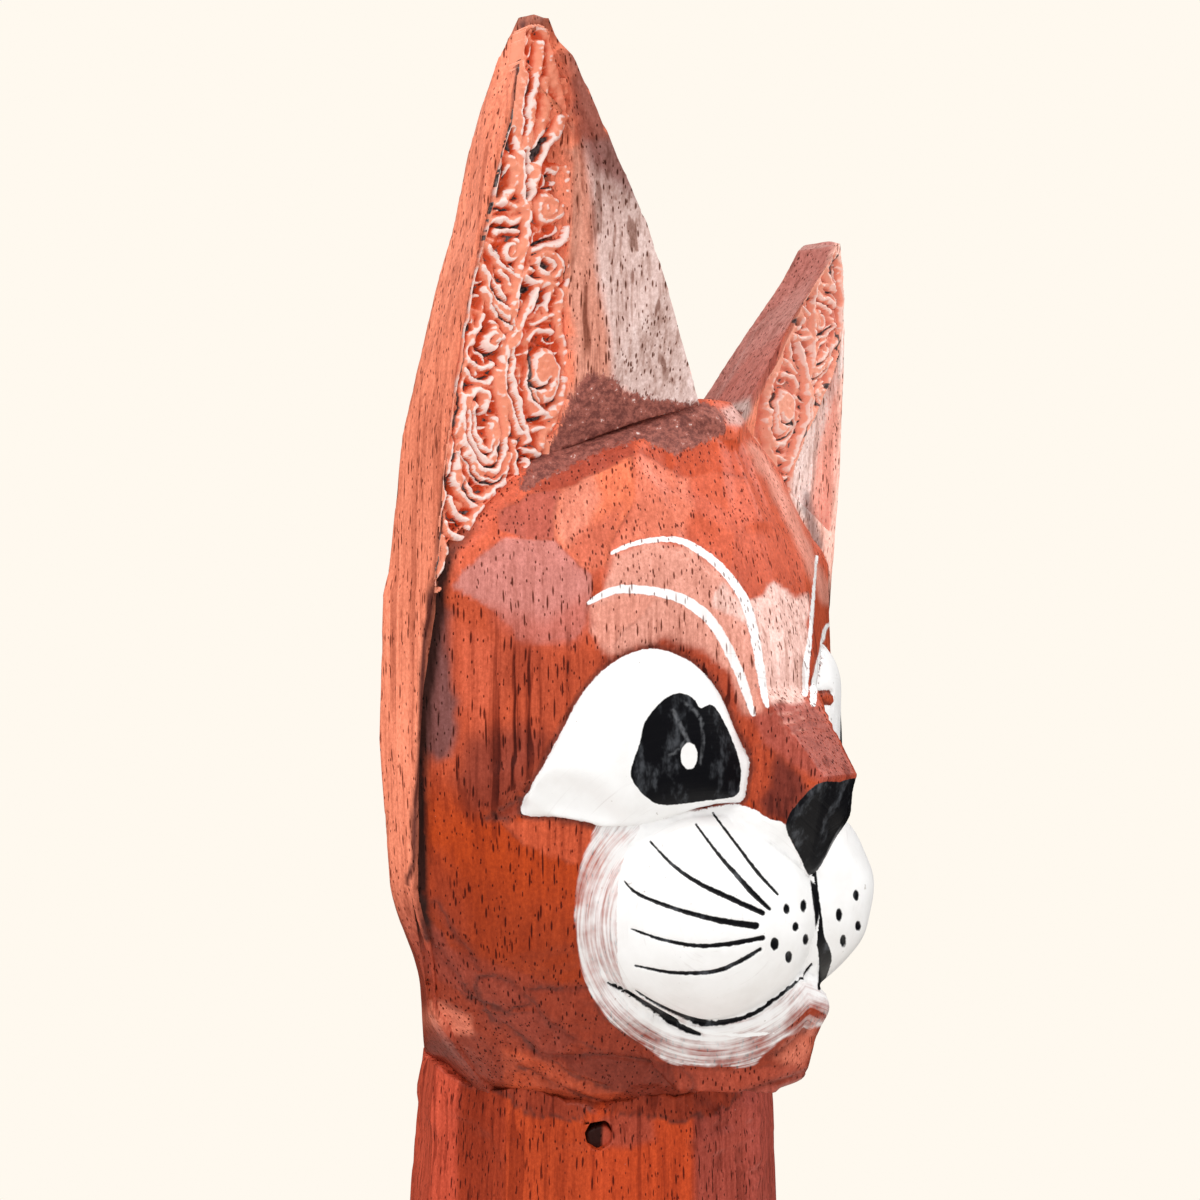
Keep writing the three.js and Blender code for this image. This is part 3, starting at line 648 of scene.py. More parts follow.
CARVED_CUTS = [
    ([(533, 77), (531, 93), (527, 110), (526, 132)], 3.6, 1.3),
    ([(528, 152), (527, 177), (528, 196)], 4.2, 1.5),
    ([(547, 138), (538, 156)], 7.2, 1.6),
    ([(562, 142), (562, 156)], 3.9, 1.4),
    ([(512, 129), (515, 150)], 4.2, 1.2),
    ([(505, 166), (501, 193)], 6.1, 1.2),
    ([(552, 175), (556, 176)], 5.6, 1.2),
    ([(547, 186), (561, 184)], 3.1, 1.0),
    ([(528, 192), (528, 196)], 5.6, 1.5),
    ([(497, 208), (511, 210)], 2.5, 0.9),
    ([(498, 225), (513, 226), (520, 224)], 2.5, 0.8),
    ([(531, 229), (532, 232)], 4.4, 1.2),
    ([(536, 243), (549, 239), (562, 235), (564, 227)], 3.1, 1.3),
    ([(546, 264), (547, 265)], 9.4, 1.6),
    ([(534, 265), (535, 266)], 4.4, 1.2),
    ([(558, 250), (566, 260), (567, 272), (561, 284)], 2.2, 0.9),
    ([(493, 248), (498, 256), (506, 263), (515, 272)], 2.5, 1.2),
    ([(492, 272), (493, 285), (499, 298), (509, 306)], 2.8, 1.2),
    ([(526, 286), (529, 287)], 7.2, 1.4),
    ([(543, 294), (543, 299)], 7.8, 1.4),
    ([(493, 304), (501, 315), (511, 324)], 2.5, 1.1),
    ([(512, 319), (512, 330)], 3.1, 1.3),
    ([(523, 294), (524, 295)], 6.1, 1.3),
    ([(536, 310), (543, 299)], 4.4, 1.3),
    ([(486, 324), (488, 326)], 5.6, 1.3),
    ([(482, 347), (490, 352), (498, 350), (503, 340)], 3.3, 1.4),
    ([(471, 374), (480, 379), (490, 376)], 2.2, 1.0),
    ([(472, 325), (472, 329)], 5.0, 1.1),
    ([(511, 351), (508, 371), (511, 393), (517, 412), (522, 429)], 2.5, 1.3),
    ([(532, 382), (536, 388), (543, 388), (550, 381)], 3.9, 1.5),
    ([(533, 419), (543, 418)], 3.6, 1.3),
    ([(534, 350), (530, 376), (533, 399), (542, 407), (551, 404), (558, 388), (560, 368),
      (555, 351)], 2.8, 0.9),
    ([(479, 412), (480, 422)], 6.7, 1.6),
    ([(466, 410), (467, 435), (475, 455), (486, 467), (498, 461), (501, 443)], 2.5, 1.2),
    ([(472, 412), (473, 435), (480, 450), (489, 456), (493, 446)], 2.2, 1.1),
    ([(462, 449), (471, 468), (483, 482), (496, 482), (504, 474)], 2.8, 1.3),
    ([(446, 479), (448, 486)], 7.2, 1.2),
    ([(456, 454), (453, 471), (452, 493)], 2.5, 1.0),
    ([(523, 451), (524, 458)], 6.7, 1.4),
    ([(523, 478), (523, 481)], 5.6, 1.3),
    ([(499, 490), (501, 494)], 5.0, 1.2),
    ([(478, 538), (480, 540)], 3.9, 1.0),
    ([(446, 569), (445, 572)], 3.9, 1.0),
    ([(464, 482), (469, 494), (477, 501)], 2.8, 1.0),
    ([(457, 518), (464, 525), (468, 533)], 2.5, 0.9),
    ([(519, 35), (518, 63), (513, 93), (511, 116), (505, 141), (498, 177), (490, 216), (481, 260),
      (474, 304)], 1.9, 0.9),
    ([(478, 288), (473, 312), (466, 351), (462, 379), (457, 421), (454, 454), (450, 488),
      (440, 529), (435, 579)], 2.2, 0.9),
]


# Finishes
CHALK_WHITE = (0.915, 0.91, 0.905)
CHALK_GREY = (0.855, 0.843, 0.83)
CHALK_SPECK = (0.30, 0.24, 0.20)
CHALK_STREAK = (0.66, 0.62, 0.60)
BRUSH_BLACK = (0.0045, 0.0045, 0.006)
WORN_BLACK = (0.075, 0.08, 0.09)
SCRATCH_GREY = (0.28, 0.29, 0.31)
SCORCH_DARK = (0.16, 0.048, 0.04)
SCORCH_LIGHT = (0.4, 0.132, 0.1)
# Specks of dust with painted glints
SCORCH_DUST_AND_GLINT = (0.82, 0.68, 0.64)
# Colours of the carving: painted shade in its cuts and hollows, stained flanks and leaves, and pale
# crests with a painted highlight
CUT_SHADE = (0.12, 0.03, 0.02)
FLANK_RED = (0.7, 0.09, 0.028)
LEAF_ORANGE = (0.9, 0.31, 0.19)
CREST_PALE_AND_HIGHLIGHT = (0.95, 0.73, 0.67)
# Pale peach laid over a carving as painted sheen
PEACH_SHEEN = (1.0, 0.54, 0.42)
CUT_SHADE_BLACK = (0.03, 0.026, 0.026)
CUT_SHADE_GREY = (0.24, 0.2, 0.2)
BIRCH = (0.5, 0.33, 0.16)
WAX_SHINE = 0.19
# Strength and depth in mm of the grain's relief
GRAIN_BUMP = (0.4, 0.15)


def link(tree, source, target):
    tree.links.new(source, target)


def add(tree, kind, **settings):
    made = tree.nodes.new(kind)
    for key, value in settings.items():
        setattr(made, key, value)
    return made


def feed(tree, socket, value):
    """Sets a socket to a number or a colour, or links it to another socket."""
    if isinstance(value, tuple):
        socket.default_value = (*value, 1)
    elif isinstance(value, (int, float)):
        socket.default_value = value
    else:
        link(tree, value, socket)


def sum_of(tree, operation, first, second=None, third=None):
    """One step of reckoning with numbers or sockets."""
    made = add(tree, "ShaderNodeMath", operation=operation)
    for socket, value in zip(made.inputs, (first, second, third)):
        if value is not None:
            feed(tree, socket, value)
    return made.outputs[0]


def spread(tree, value, low, high, to_low=0.0, to_high=1.0):
    """A value eased from one range to another."""
    made = add(tree, "ShaderNodeMapRange", interpolation_type="SMOOTHSTEP")
    link(tree, value, made.inputs["Value"])
    made.inputs["From Min"].default_value = low
    made.inputs["From Max"].default_value = high
    made.inputs["To Min"].default_value = to_low
    made.inputs["To Max"].default_value = to_high
    return made.outputs[0]


def blend(tree, how, share, first, second):
    """A colour between two others, or their product."""
    made = add(tree, "ShaderNodeMix", data_type="RGBA", blend_type=how)
    for index, value in ((0, share), (6, first), (7, second)):
        feed(tree, made.inputs[index], value)
    return made.outputs[2]


def between(tree, share, first, second):
    """A number between two others."""
    made = add(tree, "ShaderNodeMix", data_type="FLOAT")
    for index, value in ((0, share), (2, first), (3, second)):
        feed(tree, made.inputs[index], value)
    return made.outputs[0]


def noise(tree, coords, scale, detail=2.0, rough=0.5, stretch=(1, 1, 1)):
    turned = add(tree, "ShaderNodeMapping")
    turned.inputs["Scale"].default_value = stretch
    link(tree, coords, turned.inputs["Vector"])
    made = add(tree, "ShaderNodeTexNoise")
    made.inputs["Scale"].default_value = scale
    made.inputs["Detail"].default_value = detail
    made.inputs["Roughness"].default_value = rough
    link(tree, turned.outputs[0], made.inputs["Vector"])
    return made.outputs["Fac"]


# Open pores: how close they stand, their stretch along the grain, their radius as a share of
# the cell and the share of cells without one
PORE_LAYERS = (
    (1500, 0.18, 0.19, 0.05), (2100, 0.45, 0.2, 0.1), (2600, 0.16, 0.19, 0.3),
    (1000, 0.05, 0.12, 0.25), (1900, 0.13, 0.23, 0.1),
)


def pore_layer(tree, coords, scale, stretch, limit, share):
    """One layer of pores: 1 in a pore and 0 beside it."""
    turned = add(tree, "ShaderNodeMapping")
    turned.inputs["Scale"].default_value = (1, 1, stretch)
    link(tree, coords, turned.inputs["Vector"])
    cells = add(tree, "ShaderNodeTexVoronoi", feature="F1")
    cells.inputs["Scale"].default_value = scale
    link(tree, turned.outputs[0], cells.inputs["Vector"])
    chance = add(tree, "ShaderNodeSeparateColor")
    link(tree, cells.outputs["Color"], chance.inputs[0])
    dot = spread(tree, cells.outputs["Distance"], limit * 0.5, limit, 1, 0)
    there = spread(tree, chance.outputs[0], share, share + 0.1)
    return sum_of(tree, "MULTIPLY", dot, there)


def grain_group():
    """Grain of the block: vertical fibres, dark open pores and slow changes of tone."""
    tree = bpy.data.node_groups.new("block_grain", "ShaderNodeTree")
    face = tree.interface
    face.new_socket("Stain", in_out="INPUT", socket_type="NodeSocketColor")
    face.new_socket("Pores", in_out="INPUT", socket_type="NodeSocketFloat")
    face.new_socket("Streaks", in_out="INPUT", socket_type="NodeSocketFloat")
    face.new_socket("Color", in_out="OUTPUT", socket_type="NodeSocketColor")
    face.new_socket("Roughness", in_out="OUTPUT", socket_type="NodeSocketFloat")
    face.new_socket("Height", in_out="OUTPUT", socket_type="NodeSocketFloat")
    face.new_socket("Pore", in_out="OUTPUT", socket_type="NodeSocketFloat")
    taken = add(tree, "NodeGroupInput")
    given = add(tree, "NodeGroupOutput")
    coords = add(tree, "ShaderNodeTexCoord").outputs["Object"]
    figure = noise(tree, coords, 70, 3, 0.55, (1, 1, 0.2))
    fibre = noise(tree, coords, 1500, 3, 0.65, (1, 1, 0.035))
    fleck = noise(tree, coords, 3400, 2, 0.7, (1, 1, 0.7))
    bend = add(tree, "ShaderNodeTexNoise")
    bend.inputs["Scale"].default_value = 150
    bend.inputs["Detail"].default_value = 1
    link(tree, coords, bend.inputs["Vector"])
    shift = add(tree, "ShaderNodeVectorMath", operation="MULTIPLY_ADD")
    link(tree, bend.outputs["Color"], shift.inputs[0])
    shift.inputs[1].default_value = (0.0006, 0.0006, 0)
    link(tree, coords, shift.inputs[2])
    pores = 0.0
    for layer in PORE_LAYERS:
        pores = sum_of(tree, "MAXIMUM", pores, pore_layer(tree, shift.outputs[0], *layer))
    pores = sum_of(tree, "MULTIPLY", pores, taken.outputs["Pores"])
    crack = spread(tree, noise(tree, shift.outputs[0], 820, 2, 0.55, (1, 1, 0.022)), 0.41, 0.35)
    crack = sum_of(tree, "MULTIPLY", crack, taken.outputs["Streaks"])
    pores = sum_of(tree, "MAXIMUM", pores, crack)
    streaks = sum_of(tree, "MULTIPLY", spread(tree, fibre, 0.5, 0.3), taken.outputs["Streaks"])
    tone = sum_of(tree, "MULTIPLY", spread(tree, figure, 0.25, 0.75, 0.84, 1.15),
                  spread(tree, fibre, 0.3, 0.75, 0.84, 1.12))
    tone = sum_of(tree, "MULTIPLY", tone, spread(tree, fleck, 0.25, 0.8, 0.84, 1.16))
    tone = sum_of(tree, "MULTIPLY", tone, sum_of(tree, "MULTIPLY_ADD", streaks, -0.45, 1.0))
    tone = sum_of(tree, "MULTIPLY", tone, sum_of(tree, "MULTIPLY_ADD", pores, -0.8, 1.0))
    shade = add(tree, "ShaderNodeCombineColor")
    link(tree, tone, shade.inputs[0])
    link(tree, sum_of(tree, "POWER", tone, 1.35), shade.inputs[1])
    link(tree, sum_of(tree, "POWER", tone, 1.5), shade.inputs[2])
    colour = blend(tree, "MULTIPLY", 1.0, taken.outputs["Stain"], shade.outputs[0])
    link(tree, colour, given.inputs["Color"])
    rough = sum_of(tree, "MULTIPLY_ADD", pores, 0.3, spread(tree, fibre, 0.2, 0.8, 0.44, 0.33))
    link(tree, rough, given.inputs["Roughness"])
    height = sum_of(tree, "MULTIPLY_ADD", pores, -1.0, sum_of(tree, "MULTIPLY", fibre, 0.4))
    height = sum_of(tree, "MULTIPLY_ADD", fleck, 0.25, height)
    link(tree, height, given.inputs["Height"])
    link(tree, pores, given.inputs["Pore"])
    return tree


BLOCK_GRAIN = grain_group()


def finish_start(name):
    made = bpy.data.materials.new(name)
    made.use_nodes = True
    tree = made.node_tree
    shader = tree.nodes["Principled BSDF"]
    return made, tree, shader


def place_grain(tree, stain, pores, streaks):
    made = add(tree, "ShaderNodeGroup", node_tree=BLOCK_GRAIN)
    for name, value in (("Stain", stain), ("Pores", pores), ("Streaks", streaks)):
        feed(tree, made.inputs[name], value)
    return made


def read(tree, name):
    return add(tree, "ShaderNodeAttribute", attribute_name=name)


def bump(tree, shader, height, strength, depth):
    made = add(tree, "ShaderNodeBump")
    made.inputs["Strength"].default_value = strength
    made.inputs["Distance"].default_value = depth * MM
    link(tree, height, made.inputs["Height"])
    link(tree, made.outputs[0], shader.inputs["Normal"])


def ragged_of(tree, value, strength):
    """A noise about its middle, as an offset."""
    return sum_of(tree, "MULTIPLY", sum_of(tree, "SUBTRACT", value, 0.5), strength)


def scorched(tree, grain, scorch):
    """Colour, height and roughness of the grain, with scorched wood by the ears, flecked with dust
    and with painted glints.
    """
    coords = add(tree, "ShaderNodeTexCoord").outputs["Object"]
    crust = noise(tree, coords, 1500, 4, 0.75)
    hairs = noise(tree, coords, 2600, 3, 0.7, (1, 1, 0.22))
    soot = blend(tree, "MIX", spread(tree, crust, 0.36, 0.64), SCORCH_DARK, SCORCH_LIGHT)
    # White specks: dust and painted glints
    soot = blend(tree, "MIX", spread(tree, crust, 0.63, 0.71), soot, SCORCH_DUST_AND_GLINT)
    frayed = sum_of(tree, "ADD", ragged_of(tree, crust, 1.1), ragged_of(tree, hairs, 1.3))
    here = spread(tree, sum_of(tree, "ADD", frayed, scorch), 0.36, 0.66)
    colour = blend(tree, "MIX", here, grain.outputs["Color"], soot)
    rough = between(tree, here, grain.outputs["Roughness"], 0.6)
    raised = sum_of(tree, "MULTIPLY", crust, here)
    height = sum_of(tree, "MULTIPLY_ADD", raised, 2.2, grain.outputs["Height"])
    return colour, height, rough


def marked_grain(tree):
    """Grain in the stain that a piece keeps, and its marks: scorch, streaks and scratches."""
    marks = add(tree, "ShaderNodeSeparateColor")
    link(tree, read(tree, "marks").outputs["Color"], marks.inputs[0])
    grain = place_grain(tree, read(tree, "stain").outputs["Color"], 1.0, marks.outputs[1])
    return grain, marks


def stained_finish(name):
    """Stained and waxed block."""
    made, tree, shader = finish_start(name)
    grain, marks = marked_grain(tree)
    colour, height, rough = scorched(tree, grain, marks.outputs[0])
    link(tree, colour, shader.inputs["Base Color"])
    link(tree, rough, shader.inputs["Roughness"])
    shader.inputs["Specular IOR Level"].default_value = WAX_SHINE
    bump(tree, shader, height, *GRAIN_BUMP)
    return made


def painted_finish(name):
    """The stained face with white and black brush paint over it."""
    made, tree, shader = finish_start(name)
    grain, marks = marked_grain(tree)
    colour, height, rough = scorched(tree, grain, marks.outputs[0])
    coats = read(tree, "paint")
    paint = add(tree, "ShaderNodeSeparateColor")
    link(tree, coats.outputs["Color"], paint.inputs[0])
    coords = add(tree, "ShaderNodeTexCoord").outputs["Object"]
    brush = read(tree, "brush").outputs["Vector"]
    ragged = sum_of(tree, "SUBTRACT", noise(tree, coords, 1800, 2, 0.6), 0.5)
    cover = add(tree, "ShaderNodeSeparateXYZ")
    link(tree, brush, cover.inputs[0])
    streak = noise(tree, brush, 1.0, 3, 0.65, (2.4, 0.11, 0))
    blotch = noise(tree, coords, 330, 3, 0.6)
    solid = spread(tree, sum_of(tree, "MULTIPLY_ADD", ragged, 0.3, paint.outputs[0]), -0.04, 0.07)
    open_grain = sum_of(tree, "MULTIPLY", grain.outputs["Pore"], coats.outputs["Alpha"])
    solid = sum_of(tree, "MULTIPLY", solid, sum_of(tree, "MULTIPLY_ADD", open_grain, -0.8, 1.0))
    rim = sum_of(tree, "ADD", ragged_of(tree, streak, 0.5), ragged_of(tree, blotch, 0.5))
    rim = spread(tree, sum_of(tree, "ADD", rim, paint.outputs[2]), -0.12, 0.22)
    thin = sum_of(tree, "ADD", ragged_of(tree, streak, 1.7), ragged_of(tree, blotch, 1.1))
    thin = sum_of(tree, "ADD", thin, cover.outputs[2])
    thin = sum_of(tree, "MULTIPLY", spread(tree, thin, 0.0, 1.0, 0, 0.96), rim)
    white = sum_of(tree, "MAXIMUM", solid, thin)
    black = spread(tree, sum_of(tree, "MULTIPLY_ADD", ragged, 0.18, paint.outputs[1]), -0.05, 0.05)
    mottle = noise(tree, coords, 240, 3, 0.6)
    chalk = blend(tree, "MIX", spread(tree, mottle, 0.35, 0.75), CHALK_WHITE, CHALK_GREY)
    speck = spread(tree, noise(tree, coords, 1300, 2, 0.5), 0.72, 0.76)
    chalk = blend(tree, "MIX", sum_of(tree, "MULTIPLY", speck, 0.5), chalk, CHALK_SPECK)
    chalk = blend(tree, "MIX", spread(tree, streak, 0.58, 0.75, 0, 0.35), chalk, CHALK_STREAK)
    worn = noise(tree, coords, 420, 4, 0.7, (1, 1, 0.5))
    soot = blend(tree, "MIX", spread(tree, worn, 0.52, 0.76), BRUSH_BLACK, WORN_BLACK)
    scratch = sum_of(tree, "MULTIPLY_ADD", ragged, 0.25, marks.outputs[2])
    scratch = spread(tree, scratch, -0.2, 0.1, 0, 0.4)
    soot = blend(tree, "MIX", scratch, soot, SCRATCH_GREY)
    colour = blend(tree, "MIX", white, colour, chalk)
    colour = blend(tree, "MIX", black, colour, soot)
    link(tree, colour, shader.inputs["Base Color"])
    coat = sum_of(tree, "MAXIMUM", white, black)
    brushed = spread(tree, streak, 0.2, 0.8, 0.3, 0.42)
    link(tree, between(tree, coat, rough, brushed), shader.inputs["Roughness"])
    shader.inputs["Specular IOR Level"].default_value = WAX_SHINE
    film = sum_of(tree, "MULTIPLY_ADD", streak, 0.5, sum_of(tree, "MULTIPLY", worn, 0.5))
    height = between(tree, coat, height, sum_of(tree, "ADD", film, 0.3))
    bump(tree, shader, height, *GRAIN_BUMP)
    return made


def carved_finish(name, painted_sheen_share):
    """Carved flowers: painted shade in the cuts and hollows, glossy stain on the flanks, pale
    crests with a painted highlight, and a share of painted sheen over all.
    """
    made, tree, shader = finish_start(name)
    relief = add(tree, "ShaderNodeSeparateColor")
    link(tree, read(tree, "relief").outputs["Color"], relief.inputs[0])
    coords = add(tree, "ShaderNodeTexCoord").outputs["Object"]
    worn = noise(tree, coords, 900, 4, 0.7)
    fine = noise(tree, coords, 3200, 3, 0.6, (1, 1, 0.35))
    rubbed = sum_of(tree, "ADD", ragged_of(tree, fine, 0.35), ragged_of(tree, worn, 0.45))
    high = sum_of(tree, "ADD", rubbed, relief.outputs[0])
    crest = sum_of(tree, "ADD", rubbed, relief.outputs[2])
    # Darker towards the bottom of the relief and paler on its crests: painted shade and painted
    # highlight
    colour = blend(tree, "MIX", spread(tree, high, 0.0, 0.2), CUT_SHADE, FLANK_RED)
    colour = blend(tree, "MIX", spread(tree, high, 0.4, 0.85), colour, LEAF_ORANGE)
    colour = blend(tree, "MIX", spread(tree, crest, 0.4, 0.9), colour, CREST_PALE_AND_HIGHLIGHT)
    # Painted sheen: a share of pale peach over the whole carving
    colour = blend(tree, "MIX", painted_sheen_share, colour, PEACH_SHEEN)
    # Painted shade, grey to black, in the cuts and in the hollows beside the ridges
    cut_shade = sum_of(tree, "ADD", ragged_of(tree, worn, 0.6), relief.outputs[1])
    cut_shade = spread(tree, cut_shade, 0.45, 0.8)
    grey = blend(tree, "MIX", spread(tree, fine, 0.35, 0.7), CUT_SHADE_BLACK, CUT_SHADE_GREY)
    colour = blend(tree, "MIX", cut_shade, colour, grey)
    link(tree, colour, shader.inputs["Base Color"])
    link(tree, spread(tree, worn, 0.3, 0.7, 0.22, 0.4), shader.inputs["Roughness"])
    shader.inputs["Specular IOR Level"].default_value = 2 * WAX_SHINE
    bump(tree, shader, sum_of(tree, "MULTIPLY_ADD", fine, 0.5, worn), *GRAIN_BUMP)
    return made


def plain_finish(name, stain, pores):
    made, tree, shader = finish_start(name)
    grain = place_grain(tree, stain, pores, 0.3)
    link(tree, grain.outputs["Color"], shader.inputs["Base Color"])
    link(tree, grain.outputs["Roughness"], shader.inputs["Roughness"])
    bump(tree, shader, grain.outputs["Height"], 0.35, 0.15)
    return made


# Stains, some of which also hold painted sheen and painted shade
CHEEK_STAIN = (0.42, 0.047, 0.007)
LOW_CHEEK_STAIN = (0.32, 0.038, 0.009)
TEMPLE_STAIN = (0.52, 0.08, 0.03)
# Dome, apricot, pale, bright and mauve stains also hold the painted sheen of lit facets
DOME_STAIN_AND_SHEEN = (0.67, 0.125, 0.06)
APRICOT_STAIN_AND_SHEEN = (0.82, 0.225, 0.135)
BLUSH_STAIN = (0.76, 0.25, 0.165)
FLAME_STAIN = (0.85, 0.205, 0.1)
CROWN_STAIN = (0.57, 0.085, 0.032)
PALE_STAIN_AND_SHEEN = (0.83, 0.375, 0.29)
BRIGHT_STAIN_AND_SHEEN = (0.91, 0.58, 0.51)
MAUVE_STAIN_AND_SHEEN = (0.57, 0.2, 0.165)
COMB_STAIN = (0.48, 0.105, 0.07)
RUSSET_STAIN = (0.31, 0.043, 0.018)
BROWN_STAIN = (0.30, 0.048, 0.026)
# Umber is stain, and painted shade on the temple, under the jaw and round the creases of the jaw
UMBER_STAIN_AND_SHADE = (0.19, 0.032, 0.02)
BRICK_STAIN = (0.43, 0.07, 0.036)
# Rose is stain, and painted shade on the left ear's inner face
ROSE_STAIN_AND_SHADE = (0.46, 0.10, 0.07)
SALMON_STAIN = (0.95, 0.285, 0.165)
# Peach is stain with a painted highlight, on the left ear's outer strip
PEACH_STAIN_AND_HIGHLIGHT = (1.0, 0.56, 0.46)
TAN_STAIN = (0.72, 0.32, 0.23)
BLEACHED_STAIN = (0.8, 0.61, 0.57)
FAR_PALE_STAIN = (0.98, 0.8, 0.75)
FILLER_STAIN = (0.6, 0.5, 0.47)
ASH_STAIN = (0.3, 0.2, 0.19)
BRUISE_STAIN = (0.17, 0.062, 0.057)
# Near black: stain in the dark joints and by the facets' edges, and painted shade in the creases of
# the jaw and the groove round the eye
DARK_STAIN_AND_SHADE = (0.12, 0.03, 0.022)
# Near black: the glue seam, and painted shade of the gap beside the neck peg
SEAM_STAIN_AND_GAP_SHADE = (0.03, 0.009, 0.007)
RIM_STAIN = (0.25, 0.085, 0.07)
FAR_INNER_STAIN = (0.5, 0.168, 0.138)


def zone(stain, share, tone):
    """A stain with a share of another tone laid over it."""
    return stain + share[:, None] * (np.array(tone) - stain)


def new_stain(count, tone):
    return np.tile(np.array(tone, dtype=float), (count, 1))


def patch(place, outline, soft):
    """1 inside an outline on the sheet and 0 outside, eased over soft units."""
    return ramp(inside(place, np.array(outline, dtype=float)), -soft, soft)


def shake(place, size, seed):
    """A random shift for each place, across and down."""
    return np.stack((wobble(place, size, seed), wobble(place, size, seed + 1)), 1)


def knife_edge(place, outline):
    """1 along the edge of a facet, where it is darkened."""
    return ramp(-np.abs(inside(place, np.array(outline, dtype=float))), -1.7, -0.2)


# Knife facets and worn places of the face; the facets are toned with painted sheen and painted
# shade as well as stain
BROW_FACET = [
    (452, 586), (479, 559), (505, 537), (526, 540), (553, 540), (582, 568), (592, 575), (588, 612),
    (580, 632), (569, 640), (536, 643), (520, 640), (512, 626), (490, 610), (468, 595),
]
COMB_FACET = [(499, 530), (501, 512), (525, 497), (556, 489), (556, 515), (553, 538), (526, 539)]
DIAMOND_FACET = [
    (559, 489), (591, 471), (632, 453), (634, 480), (632, 505), (618, 533), (604, 566), (593, 574),
    (582, 567), (553, 537), (556, 515),
]
DIAMOND_LEFT = [(560, 490), (592, 473), (600, 500), (586, 528), (566, 548), (555, 536), (557, 515)]
DIAMOND_TIP = [(578, 530), (622, 505), (618, 533), (604, 566), (593, 575), (582, 567), (566, 550)]
TEMPLE_LIT = [(455, 625), (505, 640), (500, 700), (480, 740), (460, 700)]
FLANK_PALE = [
    (752, 440), (765, 455), (800, 520), (830, 590), (836, 612), (824, 604), (800, 555), (770, 490),
    (748, 452),
]
DOME_LEFT = [
    (636, 455), (653, 461), (686, 480), (694, 505), (684, 540), (650, 538), (612, 553), (606, 566),
    (632, 505),
]
CROWN_FACET = [
    (636, 450), (656, 446), (675, 454), (690, 450), (709, 440), (738, 440), (756, 466), (745, 477),
    (724, 472), (685, 479), (653, 460),
]
DOME_FLANK = [
    (746, 478), (762, 470), (790, 540), (800, 586), (776, 578), (748, 599), (729, 554), (751, 512),
]
BAND_STRIP = [
    (528, 488), (565, 468), (606, 446), (636, 439), (634, 453), (604, 470), (566, 488), (536, 492),
]
UNDER_EYE_FACET = [(503, 824), (523, 846), (554, 857), (581, 866), (599, 829), (560, 818)]
PINK_BROW = [
    (589, 606), (604, 590), (612, 556), (650, 540), (690, 545), (720, 570), (745, 605), (756, 660),
    (764, 712), (744, 716), (728, 672), (705, 652), (664, 640), (628, 650), (608, 655), (590, 632),
]
BROW_FAN = [(589, 606), (612, 598), (661, 591), (640, 618), (623, 632), (609, 650), (596, 640)]
PALE_FOREHEAD = [
    (712, 608), (716, 594), (724, 583), (736, 598), (748, 600), (764, 594), (775, 582), (786, 590),
    (796, 596), (808, 594), (808, 640), (806, 676), (802, 702), (770, 706), (764, 680), (752, 625),
]
# Painted shade on the temple beside the eye
TEMPLE_SHADE = [(468, 735), (520, 724), (552, 738), (528, 790), (500, 812), (470, 816), (455, 780)]
CHEEK_LEFT = [(416, 840), (440, 850), (462, 890), (470, 930), (450, 940), (416, 900)]
TEMPLE_SCAR = [(505, 640), (530, 636), (545, 655), (520, 690), (506, 700), (500, 668)]
BRIDGE_TOP = [
    (752, 716), (770, 706), (812, 700), (836, 735), (858, 778), (822, 782), (792, 765), (765, 745),
]
BRIDGE_RIDGE = [(786, 716), (812, 706), (836, 735), (858, 778), (836, 782), (806, 756)]
BRIDGE_SIDE = [
    (748, 745), (765, 748), (792, 768), (812, 786), (800, 800), (786, 822), (765, 818), (752, 800),
]
BRIDGE_DARK = [(774, 752), (800, 774), (808, 792), (788, 822), (766, 818), (760, 802), (772, 782)]
# Facets of the jaw
JAW_WEDGE = [(416, 900), (440, 934), (476, 974), (478, 1000), (446, 984), (420, 965)]
JAW_BAND = [(478, 981), (487, 977), (515, 985), (530, 1005), (505, 1010), (480, 1003)]
JAW_MIDDLE = [(484, 1012), (538, 1014), (575, 1039), (560, 1057), (538, 1054), (520, 1035)]
JAW_PLATE = [
    (527, 990), (589, 988), (604, 1017), (633, 1043), (669, 1064), (604, 1056), (575, 1039),
    (538, 1010),
]
# Painted shade on the facet under the jaw
JAW_SHADE = [
    (556, 1057), (593, 1054), (633, 1063), (669, 1066), (680, 1097), (651, 1108), (618, 1090),
    (582, 1075),
]
JAW_RIGHT = [
    (676, 1068), (746, 1070), (793, 1065), (802, 1044), (806, 1074), (742, 1094), (682, 1103),
]
CHIN_TIP = [(770, 1056), (802, 1030), (814, 1020), (812, 1050), (800, 1068)]
CHIN_UNDER = [(742, 1095), (806, 1076), (780, 1101), (764, 1128), (718, 1121), (727, 1105)]
JAW_LIT = [(420, 1003), (446, 1004), (469, 1014), (474, 1034), (450, 1038), (424, 1036)]
JAW_CHIPPED = [
    (420, 1038), (450, 1040), (480, 1030), (520, 1066), (505, 1092), (474, 1083), (440, 1060),
]
JAW_LOW = [
    (500, 1050), (538, 1056), (582, 1077), (620, 1092), (600, 1112), (540, 1112), (505, 1090),
]
ABOVE_EYE = [
    (586, 690), (600, 655), (628, 648), (664, 636), (705, 648), (735, 680), (752, 716), (738, 720),
    (720, 696), (690, 662), (655, 648), (620, 662), (598, 690),
]
TEMPLE_RIGHT = [(520, 650), (600, 655), (570, 710), (540, 760), (520, 720)]
